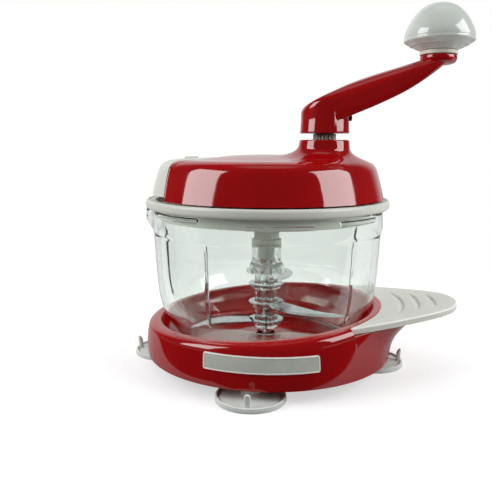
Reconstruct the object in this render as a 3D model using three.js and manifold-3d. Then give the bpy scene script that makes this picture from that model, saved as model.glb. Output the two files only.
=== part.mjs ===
// Hand cranked food chopper: a suction cup base, a clear bowl with a blade stem, and a
// geared lid with a crank and a feed flap. Millimetres, +Z up, standing plane at z = 0.
import * as THREE from 'three';
import { mergeVertices } from 'three/addons/utils/BufferGeometryUtils.js';
import Module from 'manifold-3d';

const wasm = await Module();
wasm.setup();

// Driving dimensions shared by several pieces
const GAP = 0.3;              // between pieces that touch
const OVERRUN = 4;            // how far a cutting tool runs past what it cuts
const LIP_HEIGHT = 40;        // of the base lip's plane above the bowl's axis point
const LIP_SLOPE = 0.0767;     // rise of that plane towards the palm rest
const BOWL_RADIUS = 86;        // outside of the bowl's collar
const BOWL_HEIGHT = 103.4;
const LID_OVER = 4;            // the lid's ring past the bowl's collar
const COVER_STEP = 4.3;        // the cover's foot inside the ring's edge
const COVER_HEIGHT = 28.2;
const HUB_HEIGHT = 14.2;
const HUB_GAP = 4.4;          // between the lid's hub and the crank's hub
const CRANK_REACH = 76.6;     // from the crank's axis to the knob's axis
const GEAR_ROOM = 7.7;         // from the crank gear's pitch circle to the foot of the cover
const CRANK_TEETH = 32;
const PINION_TEETH = 14;
const HUB_TURN = -25.2;       // degrees from the palm rest's middle to the crank's axis
const ARM_TURN = 4.5;         // degrees, the arm's rest direction
const FEET_TURN = -2.5;       // degrees, the feet off the base's own axes
const PLATE_TURN = 1.4;       // degrees, the name plate off the front

// Facets round a large, a middling and a small circle
const LARGE = 36;
const MEDIUM = 18;
const SMALL = 8;
const WELD = 1e-4;              // points nearer than this are one

const rad = THREE.MathUtils.degToRad;
const at = (radius, degrees) => [radius * Math.cos(rad(degrees)), radius * Math.sin(rad(degrees))];
const lipPlane = (x) => LIP_HEIGHT + LIP_SLOPE * x;

const colour = {
  red: 0x9d0f14, grey: 0xc3c8c4, clear: 0xdfe9ea, steel: 0xc8cbce, dark: 0x26272a,
  rubber: 0xaab0af, white: 0xe9e9e4,
};

// Each piece's own sizes
const foot = {
  count: 4, inset: 11.1, radius: 23.55, rim: 1.8, rimHeight: 3.4, dish: 2.2, crown: 2.9,
  hollow: 1.3, seat: 4.4, neck: 5.5, throat: 4, button: 5.8, buttonHeight: 2,
  tabWidth: 4, tabThick: 1.9, tabHeight: 8.2, tabBend: 0.6, height: 9.6,
};
const plate = { thick: 2.1, inset: 3.2, holeClearance: 0.4 };
const base = {
  skirt: 6.2, centre: 2.1, bottom: 9.65, wall: 2.5, lipProud: 0.1, lipWidth: 4.8,
  lipCentre: 0.8, lipRound: 0.7, foldIn: 1, floorThick: 2.2, wellRoom: 5.4, hole: 12,
  hollowDrop: 8.5, flare: 36.6, flareAngle: 47, ceilingShare: 0.7, boss: 4.2, bossInset: 12.2, bossTop: 25,
};
const screw = { head: 3.4, headHeight: 2, shank: 1.6, pilot: 1.9, basePilot: 10 };
const palm = {
  thick: 4.8, edge: 1.1, startAngle: 50, gap: 0.4, reach: 55.5, screwIn: 6.5, screwY: 17, cover: 1.6,
  heartShare: 0.6,
};
const nameplate = { radiusGap: 0.35, thick: 0.9, angle: 47.6, height: 11, middle: 27 };
const bowl = {
  rimStep: 0.8, wall: 2.5, floorThick: 2.5, footHeight: 0.8, footWall: 3.4, footIn: 1,
  spoutReach: 5.6, spoutAngle: 185, spoutHalf: 15, spoutDrop: 19, spoutSlope: 1.6, barHeight: 2.4,
  barProud: 1.1, ribs: 5, ribTurn: 30, ribProud: 1.5, ribWidth: 2.6, pinBoss: 6, pinBossHeight: 6.2,
};
const pin = { radius: 2.5, length: 22 };
const stem = {
  radius: 8.8, flute: 0.8, flutes: 6, skirt: 15.6, skirtTop: 77.2, skirtLow: 68, socket: 11,
  socketTop: 87.7, socketDepth: 9.2, pinRoom: 1, collar: 11.4, collarThick: 2,
};
const blade = {
  thick: 1.2, ring: 12.2, ringStart: 30, ringEnd: 320, lowest: 30, step: 14.4, width: 15,
  clearLow: 25, clearMiddle: 16, clearHigh: 13, turn: 200, turnStep: 120,
};
const ring = {
  thick: 6.6, round: 1.2, deckTop: 2.8, deckThick: 2.3, skirtRoom: 3.1, skirtWall: 2, skirtDrop: 7.9,
  stepIn: 3.1, hub: 11.8, hubDrop: 4.6, hubRise: 2.7, shaftBoss: 8.6, shaftBossRise: 5.2, chord: 44.5,
  feedIn: 5.4, postIn: 8.4,
};
const cover = {
  wall: 2.3, hub: 17.45, hubBore: 10.3, hubBoss: 13.5, hubBossDrop: 2, chord: 36,
  chordWall: 2.2, post: 4.2, postPilot: 12, ear: 4, earIn: 3.3, earDepth: 5,
};
const flap = {
  wall: 2, lift: 3.4, hingeIn: 39.2, hingeDrop: 2.4, knuckle: 2.15, bore: 1.4,
  pin: 1.1, pinOver: 0.6, tabWidth: 16, tabRise: 1.6, tabThick: 2.4, tabIn: 15.4,
  swing: 0.6,
};
const gear = { thick: 7, hex: 14, hexGap: 0.35, holes: 6, holeRadius: 4.6, holeIn: 12 };
const pinion = { thick: 10, hex: 11.5, addendum: 0.8, root: 0.25, backlash: 0.3, pressure: 20 };
const shaft = {
  journal: 5, journalDepth: 5.5, collar: 8.4, collarThick: 2.6, radius: 8, keyHex: 13.2, keyHeight: 15,
};
const bush = { flange: 2.4, flangeThick: 1.8, spindleWall: 1.6, spindleFlange: 1.9, spindleLip: 1.2 };
const crank = {
  hub: 17.2, boss: 12.25, bossProud: 1.3, bossHeight: 12, keyDepth: 16, setScrew: 2.1, setHeight: 10.8,
  setProud: 1.5, setGap: 0.35, pinDepth: 10.6,
};
const knob = {
  radius: 23.6, height: 31.5, washer: 12.6, washerThick: 1.7, pin: 3.5, pinHead: 6,
  headHeight: 3, headDepth: 16.6, room: 0.5,
};
const spindle = {
  radius: 7, collar: 9.7, flange: 11.4, flangeHeight: 5.3, hex: 11, hexDrop: 9,
  screwHead: 6, screwHeadHeight: 2.4, screwDepth: 8,
};

// Outer wall of the bowl from its foot to its rim
const bowlShares = [[0.728, 0.03], [0.8, 0.12], [0.868, 0.2], [0.913, 0.275], [0.95, 0.4],
  [0.972, 0.64], [0.984, 0.835], [1, 0.862], [0.991, 1]];

// Outer face of the cover from its foot to the middle of its top
const coverShares = [[1, 0], [0.97, 0.4], [0.935, 0.76], [0.912, 0.87], [0.88, 0.94], [0.83, 0.985],
  [0.77, 1]];

const coverTopShare = coverShares[coverShares.length - 1][0];

// Heights and places worked out from the sizes above
const bowlFoot = bowlShares[0][0] * BOWL_RADIUS - bowl.footIn;
const lidRadius = BOWL_RADIUS + LID_OVER;
const coverRadius = lidRadius - COVER_STEP;
const ringSkirt = BOWL_RADIUS - bowl.wall - ring.skirtRoom;
const postCircle = ringSkirt - ring.postIn;
const baseRadius = BOWL_RADIUS + base.skirt;
const lipOuter = BOWL_RADIUS + base.lipProud;
const lipInner = lipOuter - base.lipWidth;
const wellFloor = bowlFoot + base.wellRoom;
const bossCircle = baseRadius - base.bossInset;
const footCircle = baseRadius - foot.inset;
const palmInner = lipOuter + palm.gap;
const plateLow = foot.height + GAP;
const plateTop = plateLow + plate.thick;
const floorLow = plateTop + GAP;
const floorTop = floorLow + base.floorThick;
const bowlLow = floorTop + GAP;
const rimTop = bowlLow + BOWL_HEIGHT;
const bowlFloor = bowlLow + bowl.footHeight + bowl.floorThick;
const ringLow = rimTop + GAP;
const ringTop = ringLow + ring.thick;
const deckTop = ringLow + ring.deckTop;
const deckLow = deckTop - ring.deckThick;
const coverLow = ringTop + GAP;
const coverTop = coverLow + COVER_HEIGHT;
const hubTop = coverTop + HUB_HEIGHT;
const crankLow = hubTop + HUB_GAP;
const shaftBossTop = deckTop + ring.shaftBossRise;
const gearLow = shaftBossTop + GAP;
const gearTop = gearLow + gear.thick;
const lidHubTop = deckTop + ring.hubRise;
const spindleFlangeTop = lidHubTop + GAP + bush.spindleLip;
const pinionLow = spindleFlangeTop + GAP;
const pinionTop = pinionLow + pinion.thick;
const stemLow = bowlFloor + bowl.pinBossHeight + GAP;
const teethSum = CRANK_TEETH + PINION_TEETH;
const axisGap = (coverRadius - GEAR_ROOM) / (1 + CRANK_TEETH / teethSum);
const gearModule = 2 * axisGap / teethSum;
const crankAxis = at(axisGap, HUB_TURN);
const flapTurn = HUB_TURN + 180;
const hingeHeight = coverTop - flap.hingeDrop;
const postTurns = [40, 90, -40, -90].map((turn) => HUB_TURN + turn);
const bossTurns = [45, 135, 225, 315].map((turn) => FEET_TURN + turn);
const coreRadius = BOWL_RADIUS * 4;
const hubBossLow = coverTop - cover.wall - cover.hubBossDrop;
const earAlong = Math.sqrt((coverTopShare * coverRadius) ** 2 - cover.chord ** 2) - cover.earIn;
const pinReach = earAlong + cover.ear / 2 + flap.pinOver;

// Side view of the arm: place along it, underside and top above the crank hub's foot, half width,
// all as shares of the crank's reach
const armShares = [[-0.222, 0.09, 0.17, 0.03], [-0.2, 0.075, 0.222, 0.1], [-0.13, 0.06, 0.284, 0.18],
  [-0.06, 0.06, 0.331, 0.217], [0.03, 0.07, 0.376, 0.222], [0.13, 0.11, 0.42, 0.205],
  [0.24, 0.172, 0.463, 0.183], [0.44, 0.26, 0.526, 0.168], [0.68, 0.375, 0.598, 0.161],
  [0.84, 0.466, 0.65, 0.158], [0.95, 0.535, 0.68, 0.15], [1.05, 0.598, 0.684, 0.12],
  [1.12, 0.622, 0.676, 0.07]];

// The arm's highest share gives the height of the boss that it ends in
const armTopShare = Math.max(...armShares.map(([, , over]) => over));
const bossTop = crankLow + armTopShare * CRANK_REACH + crank.bossProud;

// A closed geometry: positions only, shared vertices merged, faces pointing out
function closed(source) {
  const bare = source.index ? source.toNonIndexed() : source.clone();
  for (const name of Object.keys(bare.attributes)) {
    if (name !== 'position') bare.deleteAttribute(name);
  }
  const merged = mergeVertices(bare, WELD);
  const place = merged.attributes.position;
  const kept = [];
  let volume = 0;
  const corners = [new THREE.Vector3(), new THREE.Vector3(), new THREE.Vector3()];
  for (let i = 0; i < merged.index.count; i += 3) {
    const face = [0, 1, 2].map((k) => merged.index.getX(i + k));
    if (new Set(face).size < 3) continue;
    kept.push(...face);
    face.forEach((vertex, k) => corners[k].fromBufferAttribute(place, vertex));
    volume += corners[0].dot(corners[1].clone().cross(corners[2]));
  }
  if (volume < 0) kept.reverse();
  merged.setIndex(kept);
  return merged;
}

function solid(geometry) {
  const shape = closed(geometry);
  return new wasm.Manifold(new wasm.Mesh({
    numProp: 3,
    vertProperties: new Float32Array(shape.attributes.position.array),
    triVerts: new Uint32Array(shape.index.array),
  }));
}

function geometryOf(body) {
  const mesh = body.getMesh();
  const shape = new THREE.BufferGeometry();
  shape.setAttribute('position', new THREE.BufferAttribute(new Float32Array(mesh.vertProperties), 3));
  shape.setIndex(Array.from(mesh.triVerts));
  return shape;
}

const join = (first, ...others) => others.reduce((sum, part) => sum.add(part), first);
const cut = (first, ...tools) => tools.reduce((rest, tool) => rest.subtract(tool), first);

// A profile of [radius, height] pairs turned about +Z
function turned(profile, steps = LARGE) {
  const points = profile.map(([radius, height]) => new THREE.Vector2(radius, height));
  return new THREE.LatheGeometry(points, steps).rotateX(Math.PI / 2);
}

// The same for a profile that closes on itself
const turnedRing = (profile, steps = LARGE) => turned([...profile, profile[0]], steps);

function rod(radius, low, high, steps = MEDIUM) {
  return turned([[0, low], [radius, low], [radius, high], [0, high]], steps);
}

function hexRod(acrossFlats, low, high) {
  const corner = acrossFlats / 2 / Math.cos(Math.PI / 6);
  return turned([[0, low], [corner, low], [corner, high], [0, high]], 6);
}

function block(width, depth, low, high, x = 0, y = 0) {
  const shape = new THREE.BoxGeometry(width, depth, high - low);
  return shape.translate(x, y, (low + high) / 2);
}

function extruded(shape, depth, low, steps = SMALL) {
  const body = new THREE.ExtrudeGeometry(shape, { depth, bevelEnabled: false, curveSegments: steps });
  return body.translate(0, 0, low);
}

const scaledProfile = (shares, radius, height, low) =>
  shares.map(([across, up]) => [across * radius, low + up * height]);

// Rows of points closed both ways, each row a closed loop
function looped(rows) {
  const across = rows[0].length;
  const index = [];
  rows.forEach((row, i) => {
    const next = (i + 1) % rows.length;
    row.forEach((point, k) => {
      const after = (k + 1) % across;
      const [a, b, c, d] = [i * across + k, i * across + after, next * across + after, next * across + k];
      index.push(a, b, c, a, c, d);
    });
  });
  const shape = new THREE.BufferGeometry();
  shape.setAttribute('position', new THREE.Float32BufferAttribute(rows.flat(2), 3));
  shape.setIndex(index);
  return shape;
}

// A body through closed sections, capped at both ends
function lofted(sections) {
  const across = sections[0].length;
  const index = [];
  for (let i = 0; i + 1 < sections.length; i += 1) {
    for (let k = 0; k < across; k += 1) {
      const after = (k + 1) % across;
      const [a, b] = [i * across + k, i * across + after];
      index.push(a, b, b + across, a, b + across, a + across);
    }
  }
  for (let k = 1; k + 1 < across; k += 1) {
    const end = (sections.length - 1) * across;
    index.push(0, k + 1, k, end, end + k, end + k + 1);
  }
  const shape = new THREE.BufferGeometry();
  shape.setAttribute('position', new THREE.Float32BufferAttribute(sections.flat(2), 3));
  shape.setIndex(index);
  return shape;
}

function mesh(name, geometry, tint, roughness = 0.35, metalness = 0, opacity = 1) {
  const material = new THREE.MeshStandardMaterial({
    color: tint, roughness, metalness, opacity, transparent: opacity < 1,
  });
  const piece = new THREE.Mesh(closed(geometry), material);
  piece.name = name;
  return piece;
}

const placed = (geometry, [x, y], degrees = 0) => geometry.rotateZ(rad(degrees)).translate(x, y, 0);

// Base

function footGeometry() {
  const rimInner = foot.radius - foot.rim;
  const cup = turned([
    [0, plateTop + GAP + foot.buttonHeight],
    [foot.throat, plateTop + GAP + foot.buttonHeight],
    [foot.button, plateTop + GAP],
    [foot.throat, plateTop + GAP],
    [foot.throat, foot.height],
    [foot.neck, foot.height],
    [foot.neck, foot.crown],
    [rimInner, foot.dish],
    [rimInner, foot.rimHeight],
    [foot.radius, foot.rimHeight],
    [foot.radius, 0],
    [foot.radius - foot.seat, 0],
    [foot.radius - foot.seat - foot.rim, foot.hollow],
    [0, foot.hollow],
  ], MEDIUM);
  const root = rimInner - foot.tabThick;
  const outline = new THREE.Shape();
  outline.moveTo(root, foot.hollow);
  outline.lineTo(rimInner, foot.hollow);
  const bend = foot.tabHeight * foot.tabBend;
  const tip = foot.tabHeight + foot.dish;
  outline.lineTo(rimInner, bend);
  outline.quadraticCurveTo(rimInner, foot.tabHeight, rimInner + foot.tabThick / 3, tip);
  outline.quadraticCurveTo(root, tip, root, bend);
  const tab = extruded(outline, foot.tabWidth, 0, 3).rotateX(Math.PI / 2);
  return geometryOf(join(solid(cup), solid(tab.translate(0, foot.tabWidth / 2, 0))));
}

function feet() {
  const names = ['foot_right', 'foot_back', 'foot_left', 'foot_front'];
  return names.map((name, i) => {
    const turn = FEET_TURN + i * 360 / foot.count;
    const piece = mesh(name, footGeometry(), colour.rubber, 0.5);
    piece.position.set(...at(footCircle, turn), 0);
    piece.rotation.z = rad(turn);
    return piece;
  });
}

function basePlate() {
  const radius = baseRadius - plate.inset - base.foldIn;
  const disc = solid(placed(rod(radius, plateLow, plateTop, LARGE), [base.centre, 0]));
  const hole = (wide, place) =>
    solid(placed(rod(wide, plateLow - OVERRUN, plateTop + OVERRUN, SMALL), place));
  const throats = Array.from({ length: foot.count }, (unused, i) =>
    hole(foot.throat + plate.holeClearance, at(footCircle, FEET_TURN + i * 360 / foot.count)));
  const pilots = bossTurns.map((turn) => hole(screw.pilot, at(bossCircle, turn)));
  return mesh('base_plate', geometryOf(cut(disc, ...throats, ...pilots)), colour.red, 0.5);
}

// How far the base's wall flares out under the palm rest, 0 to 1 around the turn
function flareShare(turn) {
  const away = Math.abs(Math.atan2(Math.sin(turn), Math.cos(turn)));
  const half = rad(base.flareAngle);
  return away < half ? Math.cos(away / half * Math.PI / 2) ** 2 : 0;
}

// Outer wall of the base: radius at a share of the wall's height
function wallRadius(turn, share) {
  const flared = flareShare(turn);
  const drop = (baseRadius - lipOuter) * share ** 4;
  return baseRadius - (1 - flared) * drop + flared * base.flare * share ** 2.6
    - base.foldIn * (1 - share) ** 6;
}

function wallPoint(turn, share, inwards = 0) {
  const radius = wallRadius(turn, share) - inwards;
  const centre = base.centre + (base.lipCentre - base.centre) * share ** 2;
  const x = centre + radius * Math.cos(turn);
  const top = lipPlane(x);
  return [x, radius * Math.sin(turn), base.bottom + share * (top - base.bottom)];
}

// Shares of the wall's height for its outer face and its inner face
const outerShares = [0, 0.1, 0.45, 0.72, 0.9, 0.985];
const hollowShares = [0.4, 0.18, 0];

// The well round the bowl: radius as a share of its floor's, height as a share of its depth
const wellShares = [[1, 0], [1.05, 0.07], [1.105, 0.22], [1.165, 0.42]];

function baseRow(turn) {
  const level = (radius, height) => [radius * Math.cos(turn), radius * Math.sin(turn), height];
  const lip = (radius, drop) => {
    const x = base.lipCentre + radius * Math.cos(turn);
    return [x, radius * Math.sin(turn), lipPlane(x) - drop];
  };
  const well = ([across, up], outwards = 0) =>
    level(across * wellFloor + outwards, floorTop + up * (LIP_HEIGHT - floorTop));
  const hollow = (share) => wallPoint(turn, share, base.wall);
  const shoulder = hollow(1);
  const ceiling = hollow(base.ceilingShare);
  const inner = lipInner + base.wall;
  return [
    ...outerShares.map((share) => wallPoint(turn, share)),
    [shoulder[0], shoulder[1], lipPlane(shoulder[0])],
    lip(lipInner + base.lipRound, 0),
    lip(lipInner, base.lipRound),
    ...[...wellShares].reverse().map((share) => well(share)),
    level(base.hole, floorTop),
    level(base.hole, floorLow),
    level(wellFloor, floorLow),
    well(wellShares[2], base.floorThick),
    level(inner, lipPlane(inner * Math.cos(turn)) - base.hollowDrop),
    [ceiling[0], ceiling[1], Math.min(ceiling[2], lipPlane(ceiling[0]) - base.hollowDrop)],
    ...hollowShares.map(hollow),
  ];
}

function baseShell() {
  const steps = LARGE;
  const rows = Array.from({ length: steps }, (unused, i) => baseRow(i * 2 * Math.PI / steps));
  const posts = bossTurns.map((turn) =>
    solid(placed(rod(base.boss, floorLow, base.bossTop, SMALL), at(bossCircle, turn))));
  const pilots = bossTurns.map((turn) => solid(placed(
    rod(screw.pilot, floorLow - OVERRUN, floorLow + screw.basePilot, SMALL), at(bossCircle, turn))));
  const palmRoom = solid(palmGeometry(GAP, OVERRUN));
  const screws = palmScrewPlaces().map(([x, y]) =>
    solid(placed(rod(screw.pilot, ceilingHeight(x, y) - OVERRUN, lipPlane(x), SMALL), [x, y])));
  const body = cut(join(solid(looped(rows)), ...posts), ...pilots, palmRoom, ...screws);
  return mesh('base_shell', geometryOf(body), colour.red, 0.18);
}

// Palm rest's outline from its front corner's side to the tip: shares of its reach past the
// corner, and of the corner's distance from the middle
const palmOutlineShares = [[0.129, 0.926], [0.31, 0.827], [0.479, 0.716], [0.655, 0.589], [0.819, 0.446],
  [0.931, 0.3], [0.985, 0.141], [1, 0]];

function palmGeometry(grow, rise) {
  const [from, side] = at(palmInner, palm.startAngle);
  const span = palmInner + palm.reach - from;
  const half = palmOutlineShares.map(([along, across]) => [from + along * span, across * side]);
  const heart = palmInner * palm.heartShare;
  const away = ([x, y]) => {
    const length = Math.hypot(x - heart, y);
    return [x + grow * (x - heart) / length, y + grow * y / length];
  };
  const upper = half.map(away);
  const lower = upper.slice(0, -1).reverse().map(([x, y]) => [x, -y]);
  const outline = new THREE.Shape();
  const start = rad(palm.startAngle) + 2 * grow / palmInner;
  const corner = at(palmInner + 2 * grow, THREE.MathUtils.radToDeg(start));
  const corners = grow ? [corner, ...upper, ...lower, [corner[0], -corner[1]]] : [...upper, ...lower];
  outline.absarc(0, 0, palmInner - grow, -start, start, false);
  corners.forEach(([x, y]) => outline.lineTo(x, y));
  const bevel = grow ? 0 : palm.edge;
  const shape = new THREE.ExtrudeGeometry(outline, {
    depth: palm.thick + grow + rise - 2 * bevel, curveSegments: SMALL, bevelEnabled: bevel > 0,
    bevelThickness: bevel, bevelSize: bevel, bevelOffset: -bevel, bevelSegments: 2,
  });
  shape.translate(0, 0, LIP_HEIGHT - palm.thick - grow + bevel);
  const tilt = new THREE.Matrix4().makeShear(0, LIP_SLOPE, 0, 0, 0, 0);
  return shape.applyMatrix4(tilt);
}

const palmScrewX = palmInner + palm.screwIn;
const palmScrewPlaces = () => [[palmScrewX, -palm.screwY], [palmScrewX, palm.screwY]];

function palmRest() {
  const pilots = palmScrewPlaces().map(([x, y]) =>
    solid(placed(rod(screw.pilot, base.bottom, lipPlane(x) - palm.cover, SMALL), [x, y])));
  return mesh('palm_rest', geometryOf(cut(solid(palmGeometry(0, 0)), ...pilots)), colour.grey, 0.4);
}

// Height of the hollow's ceiling at the outer edge of a palm screw's head
function ceilingHeight(x, y) {
  const turn = Math.atan2(y, x);
  const inner = lipInner + base.wall;
  const outer = wallPoint(turn, base.ceilingShare, base.wall);
  const reach = Math.hypot(outer[0], outer[1]);
  const share = (Math.hypot(x, y) + screw.head - inner) / (reach - inner);
  const innerHeight = lipPlane(inner * Math.cos(turn)) - base.hollowDrop;
  return innerHeight + share * (Math.min(outer[2], innerHeight) - innerHeight) - GAP;
}

function palmScrews() {
  const names = ['palm_screw_front', 'palm_screw_back'];
  return palmScrewPlaces().map(([x, y], i) => {
    const top = lipPlane(x) - palm.cover - GAP;
    const seat = ceilingHeight(x, y) - GAP;
    const piece = mesh(names[i], screwGeometry(seat, top), colour.steel, 0.3, 1);
    piece.position.set(x, y, 0);
    return piece;
  });
}

// A screw with its head below the seat and its shank up to the tip
function screwGeometry(seat, tip) {
  return turned([
    [0, seat - screw.headHeight], [screw.head - GAP, seat - screw.headHeight],
    [screw.head, seat - screw.headHeight + GAP], [screw.head, seat], [screw.shank, seat],
    [screw.shank, tip - screw.shank], [0, tip],
  ], SMALL);
}

function baseScrews() {
  return bossTurns.map((turn, i) => {
    const tip = floorLow + screw.basePilot - GAP;
    const piece = mesh(`base_screw_${i + 1}`, screwGeometry(plateLow - GAP, tip), colour.steel, 0.3, 1);
    piece.position.set(...at(bossCircle, turn), 0);
    return piece;
  });
}

function namePlate() {
  const steps = SMALL;
  const low = nameplate.middle - nameplate.height / 2;
  const sections = Array.from({ length: steps + 1 }, (unused, i) => {
    const turn = rad(270 + PLATE_TURN + nameplate.angle * (i / steps - 0.5));
    const wallHeight = lipPlane(baseRadius * Math.cos(turn)) - base.bottom;
    const shareAt = (height) => (height - base.bottom) / wallHeight;
    const corner = (height, out) => {
      const [x, y] = wallPoint(turn, shareAt(height), -out);
      return [x, y, height];
    };
    const inner = nameplate.radiusGap;
    const outer = inner + nameplate.thick;
    const high = low + nameplate.height;
    return [corner(low, inner), corner(low, outer), corner(nameplate.middle, outer), corner(high, outer),
      corner(high, inner), corner(nameplate.middle, inner)];
  });
  return mesh('name_plate', lofted(sections), colour.grey, 0.45);
}

// Bowl

function bowlRadius(share) {
  const after = bowlShares.findIndex(([, up]) => up >= share);
  const [r1, u1] = bowlShares[Math.max(after, 1)];
  const [r0, u0] = bowlShares[Math.max(after, 1) - 1];
  return BOWL_RADIUS * (r0 + (r1 - r0) * (share - u0) / (u1 - u0));
}

// How far the wall swells out at the pour spout
function spoutSwell(turn, height) {
  const off = turn - rad(bowl.spoutAngle);
  const away = Math.abs(Math.atan2(Math.sin(off), Math.cos(off)));
  const half = rad(bowl.spoutHalf);
  const up = Math.min(1, Math.max(0, 1 - (rimTop - height) / bowl.spoutDrop) * bowl.spoutSlope);
  return away < half ? bowl.spoutReach * Math.cos(away / half * Math.PI / 2) ** 2 * up : 0;
}

function bowlShellGeometry() {
  const steps = LARGE;
  const outer = bowlShares.map(([across, up]) => [across * BOWL_RADIUS, bowlLow + up * BOWL_HEIGHT]);
  const inner = outer.slice(1).reverse().map(([radius, height]) => [radius - bowl.wall, height]);
  const profile = [
    [bowlFoot - bowl.footWall, bowlLow + bowl.footHeight], [bowlFoot - bowl.footWall + GAP, bowlLow],
    [bowlFoot, bowlLow], ...outer, ...inner, [inner[inner.length - 1][0] - bowl.pinBoss, bowlFloor],
    [bowl.pinBoss + GAP, bowlFloor], [bowl.pinBoss, bowlFloor + bowl.pinBossHeight],
    [pin.radius + GAP, bowlFloor + bowl.pinBossHeight], [pin.radius + GAP, bowlFloor - GAP],
  ];
  const across = profile.length;
  const points = [];
  for (let i = 0; i < steps; i += 1) {
    const turn = i * 2 * Math.PI / steps;
    profile.forEach(([radius, height]) => {
      const swollen = radius + spoutSwell(turn, height);
      points.push([swollen * Math.cos(turn), swollen * Math.sin(turn), height]);
    });
  }
  const index = [];
  const lowPole = points.push([0, 0, bowlLow + bowl.footHeight]) - 1;
  const highPole = points.push([0, 0, bowlFloor - GAP]) - 1;
  for (let i = 0; i < steps; i += 1) {
    const [from, to] = [i * across, ((i + 1) % steps) * across];
    for (let k = 0; k + 1 < across; k += 1) {
      index.push(from + k, to + k, to + k + 1, from + k, to + k + 1, from + k + 1);
    }
    index.push(lowPole, to, from, highPole, from + across - 1, to + across - 1);
  }
  const shape = new THREE.BufferGeometry();
  shape.setAttribute('position', new THREE.Float32BufferAttribute(points.flat(), 3));
  shape.setIndex(index);
  return shape;
}

// Track bars on the collar: start and end in degrees, and height as a share of the bowl's
const barShares = [[209.5, 243.5, 0.975], [265.5, 294.5, 0.947], [307.5, 333.5, 0.96]];

function barGeometry([from, to, up]) {
  const steps = SMALL / 2;
  const low = bowlLow + up * BOWL_HEIGHT - bowl.barHeight / 2;
  const high = low + bowl.barHeight;
  const sections = Array.from({ length: steps + 1 }, (unused, i) => {
    const turn = from + (to - from) * i / steps;
    const corner = (radius, height) => [...at(radius, turn), height];
    const proud = BOWL_RADIUS + bowl.barProud;
    const sunk = BOWL_RADIUS - bowl.rimStep - bowl.wall / 2;
    return [corner(sunk, low), corner(proud, low), corner(proud, high), corner(sunk, high)];
  });
  return lofted(sections);
}

// Heights at which a rib's section is set, as shares of the bowl's
const ribShares = [0.3, 0.42, 0.62, 0.82];

function ribGeometry(turn) {
  const sections = ribShares.map((up) => {
    const radius = bowlRadius(up) - bowl.wall / 2;
    const height = bowlLow + up * BOWL_HEIGHT;
    const inner = bowlRadius(up) - bowl.wall - bowl.ribProud;
    return [[radius, -bowl.ribWidth / 2, height], [radius, bowl.ribWidth / 2, height], [inner, 0, height]];
  });
  return lofted(sections).rotateZ(rad(turn));
}

function bowlPiece() {
  const ribs = Array.from({ length: bowl.ribs }, (unused, i) =>
    solid(ribGeometry(bowl.ribTurn + i * 360 / bowl.ribs)));
  const bars = barShares.map((bar) => solid(barGeometry(bar)));
  const body = join(solid(bowlShellGeometry()), ...ribs, ...bars);
  return mesh('bowl', geometryOf(body), colour.clear, 0.05, 0, 0.35);
}

function bowlPin() {
  const tip = bowlFloor + pin.length;
  const shape = turned([[0, bowlFloor], [pin.radius, bowlFloor], [pin.radius, tip - pin.radius / 2],
    [pin.radius / 2, tip], [0, tip]], SMALL);
  return mesh('bowl_pin', shape, colour.steel, 0.25, 1);
}

// Blades

function flutedShape() {
  const outline = new THREE.Shape();
  const steps = stem.flutes * 4;
  for (let i = 0; i < steps; i += 1) {
    const turn = i * 360 / steps;
    const radius = stem.radius - stem.flute * (0.5 - 0.5 * Math.cos(rad(turn) * stem.flutes));
    const [x, y] = at(radius, turn);
    if (i) outline.lineTo(x, y);
    else outline.moveTo(x, y);
  }
  return outline;
}

const bladeHeights = () => [0, 1, 2].map((i) => blade.lowest + i * blade.step);

function bladeStem() {
  const head = turned([
    [0, stem.skirtLow - stem.flute], [stem.radius - stem.flute, stem.skirtLow - stem.flute],
    [stem.skirt - stem.flute, stem.skirtLow], [stem.skirt, stem.skirtLow + stem.flute],
    [stem.collar + stem.flute, stem.skirtTop - 2 * stem.flute], [stem.socket, stem.skirtTop],
    [stem.socket, stem.socketTop], [0, stem.socketTop],
  ], MEDIUM);
  const tube = extruded(flutedShape(), stem.skirtLow - stemLow, stemLow);
  const collars = bladeHeights().map((height) =>
    solid(rod(stem.collar, height - GAP - stem.collarThick, height - GAP, MEDIUM)));
  const pinTop = bowlFloor + pin.length + stem.pinRoom;
  const pinRoom = rod(pin.radius + GAP, stemLow - OVERRUN, pinTop, SMALL);
  const socketLow = stem.socketTop - stem.socketDepth;
  const socket = hexRod(spindle.hex + 2 * GAP, socketLow, stem.socketTop + OVERRUN);
  const body = cut(join(solid(head), solid(tube), ...collars), solid(pinRoom), solid(socket));
  return mesh('blade_stem', geometryOf(body), colour.clear, 0.08, 0, 0.4);
}

// Edge and back of a knife: control point and end of each curve, along its reach and across its width
const bladeShares = [[0.45, -1.25], [0.72, -0.54], [0.93, 0.08], [1, 0.9], [0.78, 0.24], [0.55, 0.33],
  [0.3, 0.42]];

// A single curved knife with a ring that sits round the stem
function bladeGeometry(reach, low) {
  const ringOuter = blade.ring + blade.thick;
  const outline = new THREE.Shape();
  outline.absarc(0, 0, ringOuter, rad(blade.ringStart), rad(blade.ringEnd), false);
  const curve = bladeShares.map(([along, side]) => [along * reach, side * blade.width]);
  curve.push(at(ringOuter, blade.ringStart));
  for (let i = 0; i < curve.length; i += 2) outline.quadraticCurveTo(...curve[i], ...curve[i + 1]);
  const hole = new THREE.Path();
  hole.absarc(0, 0, stem.radius + GAP, 0, 2 * Math.PI);
  outline.holes.push(hole);
  return extruded(outline, blade.thick, low, 6);
}

function blades() {
  const names = ['blade_lower', 'blade_middle', 'blade_upper'];
  const clearances = [blade.clearLow, blade.clearMiddle, blade.clearHigh];
  return bladeHeights().map((height, i) => {
    const piece = mesh(names[i], bladeGeometry(BOWL_RADIUS - clearances[i], height), colour.steel, 0.2, 1);
    piece.rotation.z = rad(blade.turn + i * blade.turnStep);
    return piece;
  });
}

// Lid

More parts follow.
